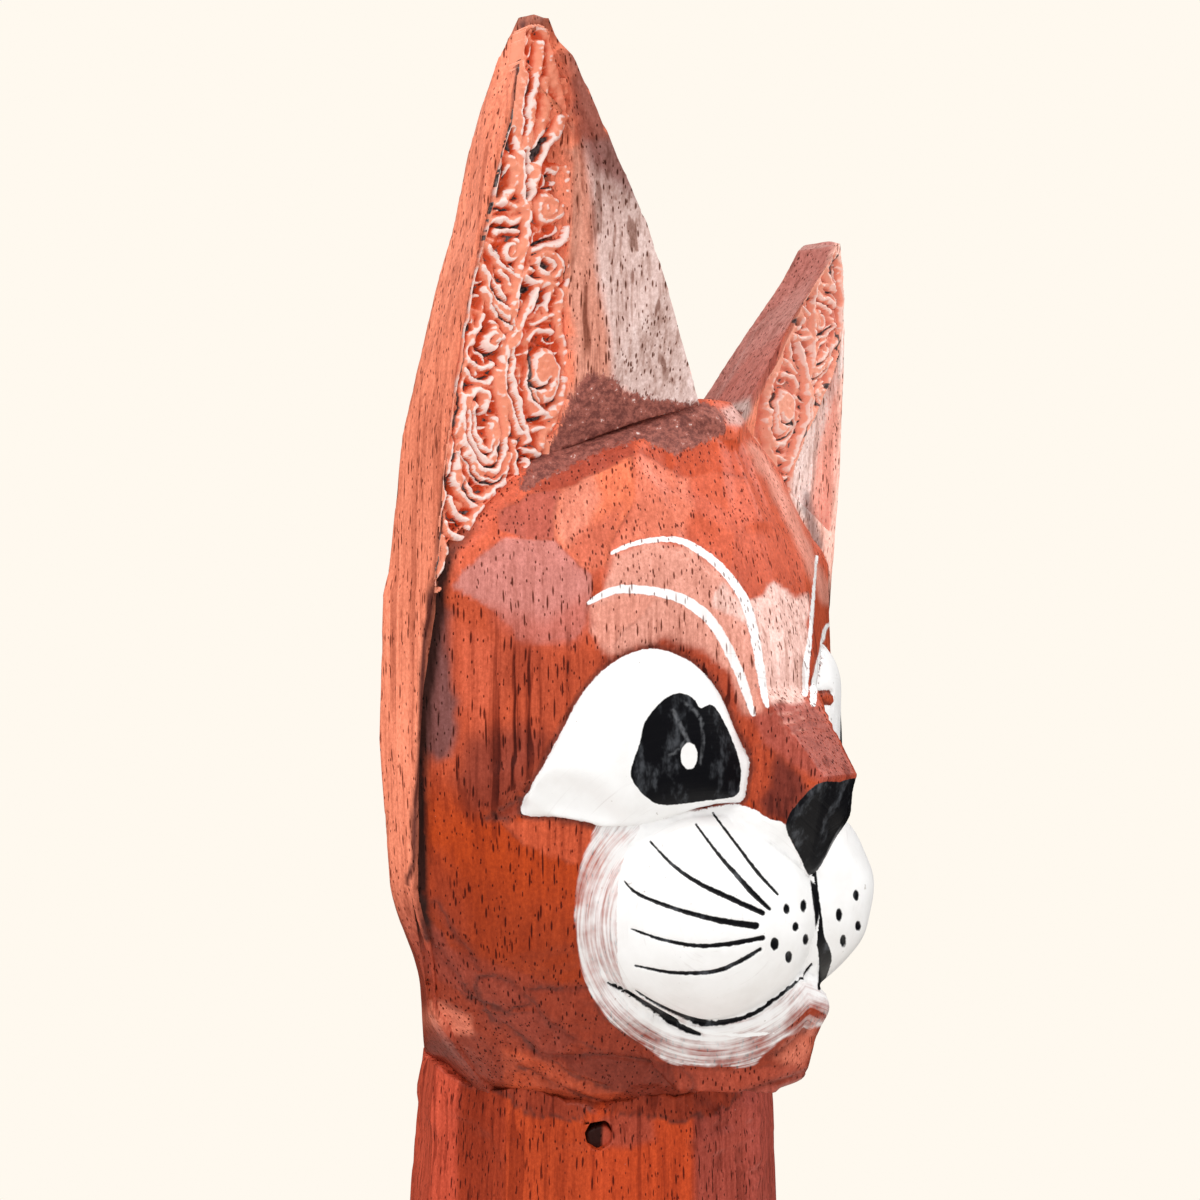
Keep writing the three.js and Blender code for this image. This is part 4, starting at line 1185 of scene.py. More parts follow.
# Cuts where the facets of the jaw meet, darkened with painted shade
JAW_CREASES = [
    [(436, 902), (446, 920), (457, 937), (470, 956), (479, 971)],
    [(433, 938), (455, 974), (477, 1002), (500, 1022), (531, 1046), (571, 1075), (610, 1088)],
    [(477, 1002), (475, 984), (485, 977), (515, 986), (531, 1003), (548, 1022), (575, 1040)],
    [(478, 1003), (505, 1009), (530, 1006)],
    [(538, 1055), (560, 1057), (600, 1056), (640, 1061), (669, 1066)],
    [(484, 1013), (520, 1036), (540, 1055)], [(680, 1068), (694, 1086), (682, 1102)],
    [(742, 1094), (770, 1084), (806, 1074)], [(770, 1056), (796, 1040), (808, 1022)],
    [(527, 990), (560, 989), (590, 988)], [(520, 1066), (545, 1080), (580, 1096), (610, 1104)],
]
# The scorched band by the ears and the bruise on the temple
SCORCHED_BAND = [
    (518, 492), (532, 470), (546, 448), (560, 425), (571, 400), (580, 381), (592, 371), (602, 376),
    (614, 377), (626, 392), (650, 397), (680, 402), (706, 402), (724, 414), (726, 432), (709, 440),
    (690, 450), (675, 454), (656, 446), (640, 440), (606, 449), (571, 466), (545, 480), (528, 490),
]
TEMPLE_BRUISE = [
    (424, 606), (440, 600), (452, 612), (450, 640), (452, 672), (458, 700), (456, 732), (450, 756),
    (438, 762), (425, 750), (422, 690),
]
BROW_LOW_EDGE = [
    (488, 606), (512, 614), (545, 620), (584, 596), (594, 622), (576, 644), (520, 646), (500, 628),
]
# Outline, tone, softness, share of it and strength of its edge; the tone is stain with the painted
# sheen of lit facets and the painted shade of shaded ones
FACE_FACETS_STAIN_AND_LIGHT = [
    (DOME_LEFT, APRICOT_STAIN_AND_SHEEN, 7, 1.0, 0.0), (CROWN_FACET, CROWN_STAIN, 1.6, 1.0, 0.35),
    (DOME_FLANK, CROWN_STAIN, 2.5, 0.35, 0.2), (PINK_BROW, PALE_STAIN_AND_SHEEN, 4, 1.0, 0.0),
    (BROW_FAN, BLUSH_STAIN, 1.6, 0.3, 0.25),
    (PALE_FOREHEAD, BRIGHT_STAIN_AND_SHEEN, 2.2, 1.0, 0.1), (BROW_FACET, MAUVE_STAIN_AND_SHEEN, 1.6, 1.0, 0.35),
    (BROW_LOW_EDGE, COMB_STAIN, 11, 0.65, 0.0),
    (COMB_FACET, COMB_STAIN, 1.4, 1.0, 0.4), (DIAMOND_FACET, FLAME_STAIN, 1.2, 1.0, 0.5),
    (DIAMOND_LEFT, BLUSH_STAIN, 7, 0.9, 0.0), (DIAMOND_TIP, COMB_STAIN, 10, 0.6, 0.0),
    (FLANK_PALE, PALE_STAIN_AND_SHEEN, 4, 0.7, 0.0), (BAND_STRIP, BRICK_STAIN, 2.0, 1.0, 0.4),
    (TEMPLE_RIGHT, RUSSET_STAIN, 14, 0.4, 0.0), (TEMPLE_BRUISE, BRUISE_STAIN, 7, 0.95, 0.0),
    (TEMPLE_LIT, DOME_STAIN_AND_SHEEN, 12, 0.6, 0.0), (ABOVE_EYE, BROWN_STAIN, 8, 0.4, 0.0),
    (UNDER_EYE_FACET, TEMPLE_STAIN, 1.6, 1.0, 0.4), (TEMPLE_SHADE, UMBER_STAIN_AND_SHADE, 14, 0.75, 0.0),
    (TEMPLE_SCAR, RUSSET_STAIN, 9, 0.6, 0.0), (CHEEK_LEFT, RUSSET_STAIN, 14, 0.6, 0.0),
    (BRIDGE_TOP, ROSE_STAIN_AND_SHADE, 5, 0.9, 0.0), (BRIDGE_RIDGE, RUSSET_STAIN, 8, 0.7, 0.0),
    (BRIDGE_SIDE, TEMPLE_STAIN, 3, 1.0, 0.3), (BRIDGE_DARK, UMBER_STAIN_AND_SHADE, 5, 1.0, 0.2),
    (JAW_WEDGE, BROWN_STAIN, 2.0, 1.0, 0.6), (JAW_BAND, BROWN_STAIN, 2.0, 0.8, 0.6),
    (JAW_MIDDLE, BROWN_STAIN, 1.8, 1.0, 0.6), (JAW_PLATE, RUSSET_STAIN, 1.8, 1.0, 0.6),
    (JAW_LOW, TEMPLE_STAIN, 4, 0.9, 0.3), (JAW_SHADE, UMBER_STAIN_AND_SHADE, 3.0, 0.65, 0.2),
    (JAW_RIGHT, BRICK_STAIN, 2.0, 0.9, 0.4), (CHIN_TIP, APRICOT_STAIN_AND_SHEEN, 6, 0.7, 0.0),
    (CHIN_UNDER, ROSE_STAIN_AND_SHADE, 2.0, 0.7, 0.3), (JAW_LIT, APRICOT_STAIN_AND_SHEEN, 4, 0.8, 0.4),
    (JAW_CHIPPED, UMBER_STAIN_AND_SHADE, 7, 0.35, 0.3),
]
# Where the grain of the temple is streaked
STREAKED_TEMPLE = [
    (500, 640), (560, 650), (600, 655), (580, 690), (540, 760), (510, 810), (480, 810), (490, 740),
    (500, 690),
]
# Flat cuts of the knife: three places on each, its depth and its reach in mm
FACE_CUTS = [
    (((482, 585), (575, 575), (545, 640)), 0.25, 8),
    (((560, 495), (630, 470), (598, 568)), 0.25, 9),
    (((505, 520), (550, 492), (553, 535)), 0.2, 5),
    (((640, 470), (760, 470), (700, 540)), 0.2, 9),
    (((720, 560), (790, 560), (770, 660)), 0.12, 8),
    (((440, 650), (500, 650), (470, 760)), 0.2, 9),
    (((430, 860), (500, 840), (470, 940)), 0.2, 9),
    (((505, 826), (596, 832), (570, 866)), 0.3, 7),
    (((430, 920), (480, 960), (450, 990)), 0.3, 8),
    (((490, 985), (560, 992), (530, 1040)), 0.3, 9),
    (((570, 1060), (670, 1060), (620, 1105)), 0.25, 9),
]
# Scratches of a comb across the bridge
COMB_MARKS = [
    [(762, 716), (792, 712), (806, 706)], [(760, 726), (790, 722), (808, 716)],
    [(764, 736), (790, 733), (806, 728)],
]


# Half sizes of a muzzle lobe, and its middle beside the middle of the face, in mm
LOBE_RADII = np.array([13.0, 16.5, 12.3])
LOBE_MIDDLE = np.array([5.0, -14.5, HEAD_BASE + 19.6])
# Swellings of the face's far outline: how far in mm, the row and its reach, and the columns
# between which the swelling grows
OUTLINE_SWELLS = [
    (0.55, 1012, 60, 770, 812), (0.6, 1072, 40, 740, 790), (0.55, 668, 50, 800, 826),
    (0.5, 820, 35, 825, 848),
]


def round_lobes(spots):
    """Turns the cut planes of the muzzle lobes into smooth round forms and evens the outline."""
    for side in (-1, 1):
        middle = LOBE_MIDDLE * (side, 1, 1)
        away = (spots - middle) / LOBE_RADII
        size = np.linalg.norm(away, axis=1)
        skin = (size > 0.95) & (size < 1.02)
        spots[skin] = middle + (away / size[:, None])[skin] * LOBE_RADII
    place, _ = on_sheet(spots)
    lobe = 0.6 * ramp(place[:, 1], 870, 920) + 0.9 * ramp(place[:, 1], 930, 985)
    slide(spots, -lobe * ramp(place[:, 0], 812, 835) * ramp(-place[:, 1], -1000, -985))
    for amount, row, reach, start, full in OUTLINE_SWELLS:
        slide(spots, amount * hump(place[:, 1], row, reach) * ramp(place[:, 0], start, full))
    tuck = ramp(HEAD_BASE + 2.4 - spots[:, 2], 0, 2.2)
    spots[:, :2] *= (1 - tuck / np.maximum(np.linalg.norm(spots[:, :2], axis=1), 3))[:, None]
    return spots


def jaw_creases(place):
    """How far places lie inside the creases of the jaw."""
    inward = np.full(len(place), FAR_OFF)
    for line in JAW_CREASES:
        inward = np.maximum(inward, stroke(place, line, (0.8, 1.4, 1.0, 1.5, 0.6)))
    return inward


def face_stain(place):
    """Stain of the face at places on the sheet, with painted sheen and painted shade on its facets
    and in the creases of its jaw.
    """
    rise = place[:, 1] + 14 * wobble(place, 40, 8)
    stain = new_stain(len(place), CHEEK_STAIN)
    stain = zone(stain, ramp(rise, 850, 940), LOW_CHEEK_STAIN)
    stain = zone(stain, ramp(-rise, -830, -760), TEMPLE_STAIN)
    stain = zone(stain, ramp(-place[:, 1], -600, -560), DOME_STAIN_AND_SHEEN)
    jaw = ramp(place[:, 1] + 0.36 * (560 - place[:, 0]).clip(0), 984, 990)
    stain = zone(stain, jaw, RUSSET_STAIN)
    jagged = place + 2.2 * shake(place, 13, 61)
    broken = ramp(wobble(place, 22, 63), -0.45, 0.35)
    # Each facet takes its tone: stain with painted sheen on lit facets and painted shade on shaded
    # ones
    for outline, tone, soft, share, edge in FACE_FACETS_STAIN_AND_LIGHT:
        stain = zone(stain, share * patch(jagged, outline, soft), tone)
        if edge:
            stain = zone(stain, edge * broken * knife_edge(jagged, outline), DARK_STAIN_AND_SHADE)
    frayed = jagged + 1.6 * shake(place, 5, 64)
    crease = jaw_creases(frayed)
    # Painted shade: a soft dark halo round each crease of the jaw, and a darker line in it
    stain = zone(stain, 0.45 * ramp(crease, -9, 0), UMBER_STAIN_AND_SHADE)
    stain = zone(stain, (0.3 + 0.45 * broken) * ramp(crease, -1.6, 0.4), DARK_STAIN_AND_SHADE)
    for line in COMB_MARKS:
        mark = ramp(stroke(place, line, (0.3, 1.2, 0.6)), -1.0, 0.4)
        stain = zone(stain, 0.45 * mark, PALE_STAIN_AND_SHEEN)
    return zone(stain, 0.55 * patch(place, FAR_FILLER, 3), FILLER_STAIN)


def edge_zone(spots, reach):
    """Which points lie by the edge of a facet on the cat's right side."""
    place, _ = on_sheet(spots)
    near = np.zeros(len(spots), dtype=bool)
    for outline, _, _, _, edge in FACE_FACETS_STAIN_AND_LIGHT:
        if edge:
            near |= np.abs(inside(place, np.array(outline, dtype=float))) < reach
    near |= jaw_creases(place) > -reach
    return near & (spots[:, 0] < 0.5) & (seam_of(spots) > 0.5)


def cut_face(piece):
    """The knife work of the face: round lobes, flat cuts, small facets, rubbed eyes and chin."""
    spots = round_lobes(spots_of(piece.data))
    set_spots(piece.data, spots)
    ways = normals_of(piece.data)
    tree = tree_of(piece)
    for places, sink, reach in FACE_CUTS:
        spots = flat_cut(spots, ways, tree, places, sink, reach)
    coats = FacePaint(spots, ways)
    bare = (coats.white < -0.6) & (coats.smear < -1.0) & (coats.black < -0.6)
    crown = bare & (seam_of(spots) > 2.0) & (spots[:, 2] - HEAD_BASE > 56)
    spots = knife_facets(spots, ways, count=14, sink=0.16, reach=5.0, seed=3, keep=crown)
    place, _ = on_sheet(spots)
    jaw = bare & (seam_of(spots) > 2.0) & (place[:, 1] > 985) & (spots[:, 2] > HEAD_BASE + 4)
    spots = knife_facets(spots, ways, count=36, sink=0.3, reach=5.0, seed=5, keep=jaw)
    set_spots(piece.data, spots)
    soften(piece, (coats.eye > -0.1) & (coats.eye < COAT_LIMIT), rounds=10)
    chin = (place[:, 0] > 765) & (place[:, 1] > 994) & (place[:, 1] < 1092)
    soften(piece, chin, rounds=14)


def refine_edges(piece):
    """Makes the mesh finer along the paint, the facets and the creases."""
    spots = spots_of(piece.data)
    coats = FacePaint(spots, normals_of(piece.data))
    painted = (np.abs(coats.white) < 0.4) | (np.abs(coats.black) < 0.4)
    refine(piece, painted & (spots[:, 0] < 12) | edge_zone(spots, 3))
    coats = FacePaint(spots_of(piece.data), normals_of(piece.data))
    refine(piece, np.abs(coats.black) < 0.22)


def face_sink(spots, place, coats, corner):
    """How deep the paint edges, creases and comb marks lie, in mm."""
    sink = 0.3 * ramp(-np.abs(coats.eye + 0.1), -0.4, 0)
    sink = np.maximum(sink, 0.45 * ramp(coats.smile, -0.35, 0.2))
    sink = np.maximum(sink, 0.14 * ramp(coats.lines, -0.1, 0.2))
    sink = np.maximum(sink, 0.2 * ramp(jaw_creases(place), -2.2, 0.5))
    sink = np.maximum(sink, 0.5 * ramp(corner, -0.3, 0.5))
    sink = np.maximum(sink, -0.16 * ramp(coats.ridge + 0.1 * wobble(spots, 1.0, 6), -0.2, 0.2))
    for line in COMB_MARKS:
        sink = np.maximum(sink, 0.16 * ramp(stroke(place, line, (1, 4, 2)), -3, 2))
    sink = sink - 0.05 * wobble(spots, 5.0, 2) - 0.02 * wobble(spots, 2.0, 5)
    return sink * (seam_of(spots) > 0.6)


def meet_board(spots, ways):
    """Brings the back edge of the face up to the ear board."""
    back_edge = ramp(-seam_of(spots), -1.5, -0.5)
    spots[:, 1] += 0.75 * back_edge
    crown = ramp(spots[:, 2] - HEAD_BASE, 54, 62) * (ways[:, 2] > 0.3)
    spots[:, 2] += 0.6 * back_edge * crown
    return spots


def stain_edges(stain, spots, place, coats, corner):
    """Adds painted shade in the groove round the eye, the dark of the eye's corner and the dark of
    the glue seam.
    """
    stain = zone(stain, 0.8 * ramp(corner, -0.2, 0.3), BROWN_STAIN)
    stain = zone(stain, 0.85 * ramp(-np.abs(corner), -0.3, -0.05), DARK_STAIN_AND_SHADE)
    # Painted shade in the groove round the eye
    eye_groove_shade = ramp(-np.abs(coats.eye + 0.12), -0.35, -0.05)
    stain = zone(stain, 0.75 * eye_groove_shade, DARK_STAIN_AND_SHADE)
    glue = ramp(-seam_of(spots), -0.9, -0.2)
    glue = glue * ramp(place[:, 1], 500, 570) * ramp(-place[:, 1], -960, -920)
    return zone(stain, glue, SEAM_STAIN_AND_GAP_SHADE)


def face_marks(place, straight, seen_left, coats):
    """Scorch, streaks and scratches of the face."""
    scorch = patch(place, SCORCHED_BAND, 9)
    scorch *= 1 - seen_left * ramp(straight[:, 0], 724, 734)
    streaks = patch(place, STREAKED_TEMPLE, 25)
    cheek = ramp(place[:, 1], 600, 640) * ramp(-place[:, 1], -900, -800)
    streaks = np.maximum(streaks, 0.45 * cheek)
    streaks = np.maximum(streaks, patch(place, ABOVE_EYE, 8))
    return np.stack((scorch, streaks, coats.scratch), 1)


def face_brush(place, coats):
    """Way out and way round of the brush on the muzzle, and how well its white covers."""
    below = ramp(place[:, 1], 985, 1012) * ramp(-coats.muzzle, 0, 0.4)
    cover = 0.56 + 0.25 * ramp(coats.muzzle, -2.4, -0.3)
    thinned = 0.94 - 0.52 * ramp(-coats.muzzle, 0.9, 2.8)
    thinned = thinned + 0.25 * ramp(-np.abs(coats.smear - 0.1), -0.25, 0)
    thinned = thinned - 0.25 * ramp(place[:, 0], 778, 798)
    cover = cover + below * (thinned - cover)
    around = place - MUZZLE_MIDDLE
    reach = np.linalg.norm(around, axis=1) / BRUSH_STEP
    turn = np.arctan2(around[:, 1], -around[:, 0]) * BRUSH_TURN
    return np.stack((reach, turn, cover), 1)


def make_face():
    piece = carved_block("face_block", "carved_face", depth=8, fill=0.6)
    cut_face(piece)
    refine_edges(piece)
    mesh = piece.data
    spots = spots_of(mesh)
    ways = normals_of(mesh)
    coats = FacePaint(spots, ways)
    place, unit = on_sheet(turned_over(spots))
    corner = inside(place, eased(EYE_CORNER, True)) / unit
    sink = face_sink(spots, place, coats, corner)
    spots = meet_board(spots - ways * sink[:, None], ways)
    set_spots(mesh, spots)
    straight, _ = on_sheet(spots)
    seen_left = ramp(ways @ TO_EYE, -0.3, 0) * (spots[:, 0] > 0.2)
    stain = face_stain(place)
    stain = stain + seen_left[:, None] * (face_stain(straight) - stain)
    keep_values(piece, "stain", stain_edges(stain, spots, place, coats, corner))
    keep_values(piece, "marks", face_marks(place, straight, seen_left, coats))
    brow = ramp(coats.brow, -0.3, 0)
    keep_values(piece, "paint", np.stack((coats.white, coats.black, coats.smear, brow), 1))
    keep_values(piece, "brush", face_brush(place, coats))
    shade_smooth(piece)
    mesh.materials.append(painted_finish("painted_face"))
    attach(piece, "root")
    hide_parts("face_block")


# Ears
# The dark line beside the near ear's carving
SEAM_LINE = [
    (523, 25), (512, 115), (495, 199), (472, 298), (456, 402), (443, 497), (435, 591), (426, 630),
    (422, 686), (421, 742), (418, 784), (414, 812), (414, 857), (407, 883),
]
# Outlines of the carved panels
PANEL = [
    (527, 31), (540, 27), (552, 36), (562, 52), (569, 88), (575, 126), (573, 165), (571, 210),
    (569, 268), (567, 298), (573, 337), (573, 383), (564, 417), (550, 444), (545, 466), (518, 490),
    (483, 528), (456, 566), (437, 591), (443, 497), (456, 402), (472, 298), (495, 199), (513, 115),
]
LEFT_PANEL = [
    (832, 252), (821, 276), (806, 302), (794, 329), (780, 358), (765, 385), (751, 409), (744, 424),
    (768, 455), (789, 490), (794, 462), (806, 431), (826, 390), (838, 356), (843, 300), (840, 258),
]
# Where the stains of the two ears lie
EAR_BLEACHED = [
    (583, 140), (594, 214), (596, 268), (610, 337), (613, 384), (640, 402), (720, 420), (720, 396),
    (690, 330), (660, 250), (636, 186), (612, 140),
]
EAR_TAN = [
    (570, 150), (573, 165), (571, 210), (569, 268), (567, 298), (575, 337), (575, 383), (564, 417),
    (590, 400), (618, 386), (613, 337), (598, 268), (596, 214), (583, 140),
]
EAR_RIM = [
    (552, 12), (566, 50), (569, 88), (575, 130), (590, 165), (640, 200), (620, 130), (580, 50),
]
FAR_INNER = [
    (690, 405), (702, 380), (741, 326), (770, 283), (800, 236), (840, 232), (835, 244), (821, 276),
    (806, 302), (794, 329), (780, 358), (765, 385), (751, 409), (735, 440), (700, 430),
]
FAR_SHADE = [
    (702, 400), (716, 398), (752, 352), (790, 328), (822, 262), (832, 258), (821, 276), (806, 302),
    (794, 329), (780, 358), (765, 385), (751, 409), (735, 440), (700, 430),
]
FAR_FILLER = [(720, 410), (734, 404), (750, 398), (752, 412), (742, 426), (728, 424)]
FAR_BLEACHED = [
    (843, 318), (838, 356), (826, 388), (814, 412), (801, 436), (793, 466), (790, 492), (804, 523),
    (811, 498), (817, 452), (829, 412), (844, 366),
]
FAR_ASH = [(804, 488), (811, 496), (816, 520), (824, 548), (816, 552), (808, 530), (802, 508)]


# Level, then the rim, the crease and the outer edge there, and how far the crease moves outwards,
# in mm
RIGHT_CREASE = [
    (80, 10, 17, 29, 0), (88, 14.5, 18.5, 27, -1.6), (95, 18, 20.5, 25.6, -2.4),
    (101, 20.5, 21.8, 24.4, -1.6), (105, 22, 22.4, 23.6, -0.3),
]
LEFT_CREASE = [
    (58, 2, 17, 30.5, -1.5), (66, 4, 17, 30, -3.2), (74, 8, 17.3, 29.5, -2.6), (86, 16, 20, 28, 0),
]


# How far the beds of the carvings lie behind the front of the ears, in mm
BED_DEPTH = 1.9


def crease_shift(spots, side, knots):
    """How far the crease of an ear moves across, from its knots."""
    level = spots[:, 2] - HEAD_BASE
    levels, rims, creases, edges, shifts = (np.array(row) for row in zip(*knots))
    across = spots[:, 0] * side
    rim = np.interp(level, levels, rims)
    crease = np.interp(level, levels, creases)
    edge = np.interp(level, levels, edges)
    shift = np.interp(level, levels, shifts, left=0, right=0)
    inner = np.clip((across - rim) / (crease - rim), 0, 1)
    outer = np.clip((edge - across) / (edge - crease), 0, 1)
    front = ramp(seam_of(spots), -1.2, -0.6)
    return side * shift * np.minimum(inner, outer) * front


def shape_ears(spots, ways):
    """Brings the ears' creases, tips and rims to the sheet and sinks beds for the carvings."""
    level = spots[:, 2] - HEAD_BASE
    spots[:, 0] += crease_shift(spots, -1, RIGHT_CREASE) + crease_shift(spots, 1, LEFT_CREASE)
    far_tip = (spots[:, 0] > 0) * ramp(level, 72, 90) * ramp(spots[:, 0], 17.5, 25.5)
    spots[:, 2] += 2.6 * far_tip
    sheet, _ = on_sheet(spots)
    near_ear = spots[:, 0] < 0
    inner = sheet[:, 0] + 0.32 * (sheet[:, 1] - 60)
    slide(spots, 0.75 * ramp(level, 79, 88) * ramp(inner, 548, 568) * near_ear)
    rim = sheet[:, 0] + 0.16 * (sheet[:, 1] - 60)
    slide(spots, -0.75 * ramp(level, 84, 94) * ramp(-rim, -516, -504) * near_ear)
    slide(spots, hump(sheet[:, 1], 975, 80) * ramp(-sheet[:, 0], -440, -420) * near_ear)
    inner = 702 + 0.694 * (393 - sheet[:, 1]) + 16 - sheet[:, 0]
    slide(spots, -0.5 * ramp(inner, 0, 14) * ramp(level, 50, 58) * (spots[:, 0] > 0))
    sheet, _ = on_sheet(spots)
    panel = np.where(spots[:, 0] < 0, inside(sheet, np.array(PANEL, dtype=float)),
                     inside(sheet, np.array(LEFT_PANEL, dtype=float)))
    let_in = (panel > 2) & (np.abs(seam_of(spots)) < 0.8) & (ways[:, 1] < -0.5)
    waves = 0.04 * wobble(spots, 4.0, 11) + 0.02 * wobble(spots, 1.6, 12)
    spots = spots - ways * waves[:, None]
    spots[let_in, 1] += BED_DEPTH
    return spots


def ear_stain(spots, place, right, left):
    """Stain of the ear board, with a painted highlight and painted shade on the left ear; right and
    left are the shares of its two ears that face the eye.
    """
    stain = new_stain(len(spots), SALMON_STAIN)
    stain = zone(stain, ramp(place[:, 1], 850, 960), BRICK_STAIN)
    stain = zone(stain, 0.8 * hump(place[:, 1], 1018, 18), APRICOT_STAIN_AND_SHEEN)
    stain = zone(stain, ramp(place[:, 1], 1036, 1046), BROWN_STAIN)
    stain = zone(stain, right * patch(place, EAR_TAN, 4), TAN_STAIN)
    stain = zone(stain, right * patch(place, EAR_BLEACHED, 5), BLEACHED_STAIN)
    grey = right * patch(place, EAR_BLEACHED, 8) * ramp(-place[:, 1], -260, -170)
    stain = zone(stain, 0.35 * grey, ASH_STAIN)
    rim = right * patch(place + 6 * wobble(place, 12, 3)[:, None], EAR_RIM, 9)
    stain = zone(stain, 0.85 * rim, RIM_STAIN)
    top = ramp(-place[:, 1], -46, -22) * (spots[:, 0] < 0)
    stain = zone(stain, 0.7 * top, DARK_STAIN_AND_SHADE)
    # The outer strip of the left ear: stain with a painted highlight
    stain = zone(stain, left * ramp(place[:, 0], 784, 792), PEACH_STAIN_AND_HIGHLIGHT)
    stain = zone(stain, left * patch(place, FAR_BLEACHED, 2.5), FAR_PALE_STAIN)
    stain = zone(stain, 0.8 * left * patch(place, FAR_ASH, 2.5), ASH_STAIN)
    tip = (spots[:, 0] > 0) * ramp(-place[:, 1], -276, -258)
    stain = zone(stain, np.maximum(left, tip) * patch(place, FAR_INNER, 3), FAR_INNER_STAIN)
    # Painted shade on the lower band of the left ear's inner face
    stain = zone(stain, 0.75 * left * patch(place, FAR_SHADE, 2), ROSE_STAIN_AND_SHADE)
    stain = zone(stain, 0.8 * left * patch(place, FAR_FILLER, 4), FILLER_STAIN)
    line, _ = near_line(place, eased(SEAM_LINE))
    seam = np.abs(seam_of(spots))
    stain = zone(stain, right * ramp(-line, -4, -1) * (seam < 2.5), DARK_STAIN_AND_SHADE)
    glue = ramp(-seam, -0.5, -0.1) * ramp(place[:, 1], 570, 600) * (place[:, 1] < 940)
    return zone(stain, glue, DARK_STAIN_AND_SHADE)


def ear_marks(place, right):
    """Scorch and streaks of the ear board."""
    scorch = right * patch(place, SCORCHED_BAND, 10)
    streaks = np.maximum(0.6 * right * patch(place, EAR_BLEACHED, 8), 0.3)
    streaks = np.maximum(streaks, 0.7 * right * patch(place, EAR_TAN, 8))
    return np.stack((scorch, streaks, np.zeros(len(place))), 1)


def make_ears():
    piece = fine_block("ear_board", "carved_ears", size=0.6)
    mesh = piece.data
    ways = normals_of(mesh)
    spots = shape_ears(spots_of(mesh), ways)
    set_spots(mesh, spots)
    place, _ = on_sheet(spots)
    toward = ramp(ways @ TO_EYE, -0.1, 0.05)
    right = toward * (spots[:, 0] < 0)
    left = toward * (spots[:, 0] > 0)
    keep_values(piece, "stain", ear_stain(spots, place, right, left))
    keep_values(piece, "marks", ear_marks(place, right))
    shade_smooth(piece)
    mesh.set_sharp_from_angle(angle=0.6)
    mesh.materials.append(stained_finish("worn_ears"))
    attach(piece, "root")
    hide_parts("ear_board")


# Carved flowers
def relief_of(place):
    """Height of the carving above the plane of the ear, in mm, and how much painted shade lies in
    the cut.
    """
    bent = place + 2.0 * shake(place, 8, 41)
    lines = [(eased(corners, steps=3), width, height) for corners, width, height in CARVED_RIDGES]
    for (across, down), wide, tall, start, end, width, height in CARVED_RINGS:
        turn = np.linspace(start, end + 200, 40)
        curl = np.linspace(1.0, 0.3, 40)
        ring = np.stack((across + wide * curl * np.cos(np.radians(turn)),
                         down + tall * curl * np.sin(np.radians(turn))), 1)
        lines.append((ring, width, height))
    crest = np.zeros(len(place))
    for line, width, height in lines:
        gap, _ = near_line(bent, line)
        crest += (height * np.clip(1 - (gap / (width * 1.1)) ** 2, 0, 1) ** 0.9) ** 4
    crest = np.minimum(crest ** 0.25, 1.2)
    curl = 0.6 * (1 - 2.0 * np.abs(wobble(place, 12, 21)))
    crest = np.maximum(crest, curl)
    rise = -1.0 + 1.15 * crest + 0.1 * wobble(place, 4, 22) + 0.06 * wobble(place, 2, 23)
    # Painted shade in the cuts, from 0 to 1
    soot = np.zeros(len(place))
    for corners, width, depth in CARVED_CUTS:
        gap, _ = near_line(bent, eased(corners, steps=3))
        cut = ramp(width * 0.7 - gap, 0, width * 0.5)
        rise -= 0.8 * depth * cut
        soot = np.maximum(soot, cut)
    return np.clip(rise, -1.75, 0.4), soot


def rubbed_even(mesh, values, rounds):
    """Values evened out along the edges of a mesh."""
    ends = np.empty(len(mesh.edges) * 2, dtype=np.int64)
    mesh.edges.foreach_get("vertices", ends)
    one, two = ends.reshape(-1, 2).T
    count = np.bincount(ends, minlength=len(values)) + 1
    for _ in range(rounds):
        total = values + np.bincount(one, values[two], len(values))
        total = total + np.bincount(two, values[one], len(values))
        values = total / count
    return values


# Of the carved strips, in mm: step of the mesh, spare edge and depth of the skirt behind the edge
CARVING_STEP = 0.125
CARVING_SPARE = 0.8
SKIRT_DEPTH = 1.7


def trimmed_grid(outline):
    """A fine grid cut to a ragged outline, its points and how far inside each lies, in mm."""
    low = outline.min(axis=0) - CARVING_SPARE
    size = outline.max(axis=0) + CARVING_SPARE - low
    body = bmesh.new()
    counts = [int(length / CARVING_STEP) for length in size]
    bmesh.ops.create_grid(body, x_segments=counts[0], y_segments=counts[1], size=0.5)

    def measured():
        flat = np.array([v.co[:2] for v in body.verts]) * size + low + size / 2
        return flat, inside(flat, outline) + 0.2 * wobble(flat, 1.6, 31)

    _, margin = measured()
    outer = [vert for vert, inward in zip(body.verts, margin) if inward < -0.3]
    bmesh.ops.delete(body, geom=outer, context="VERTS")
    return body, *measured()


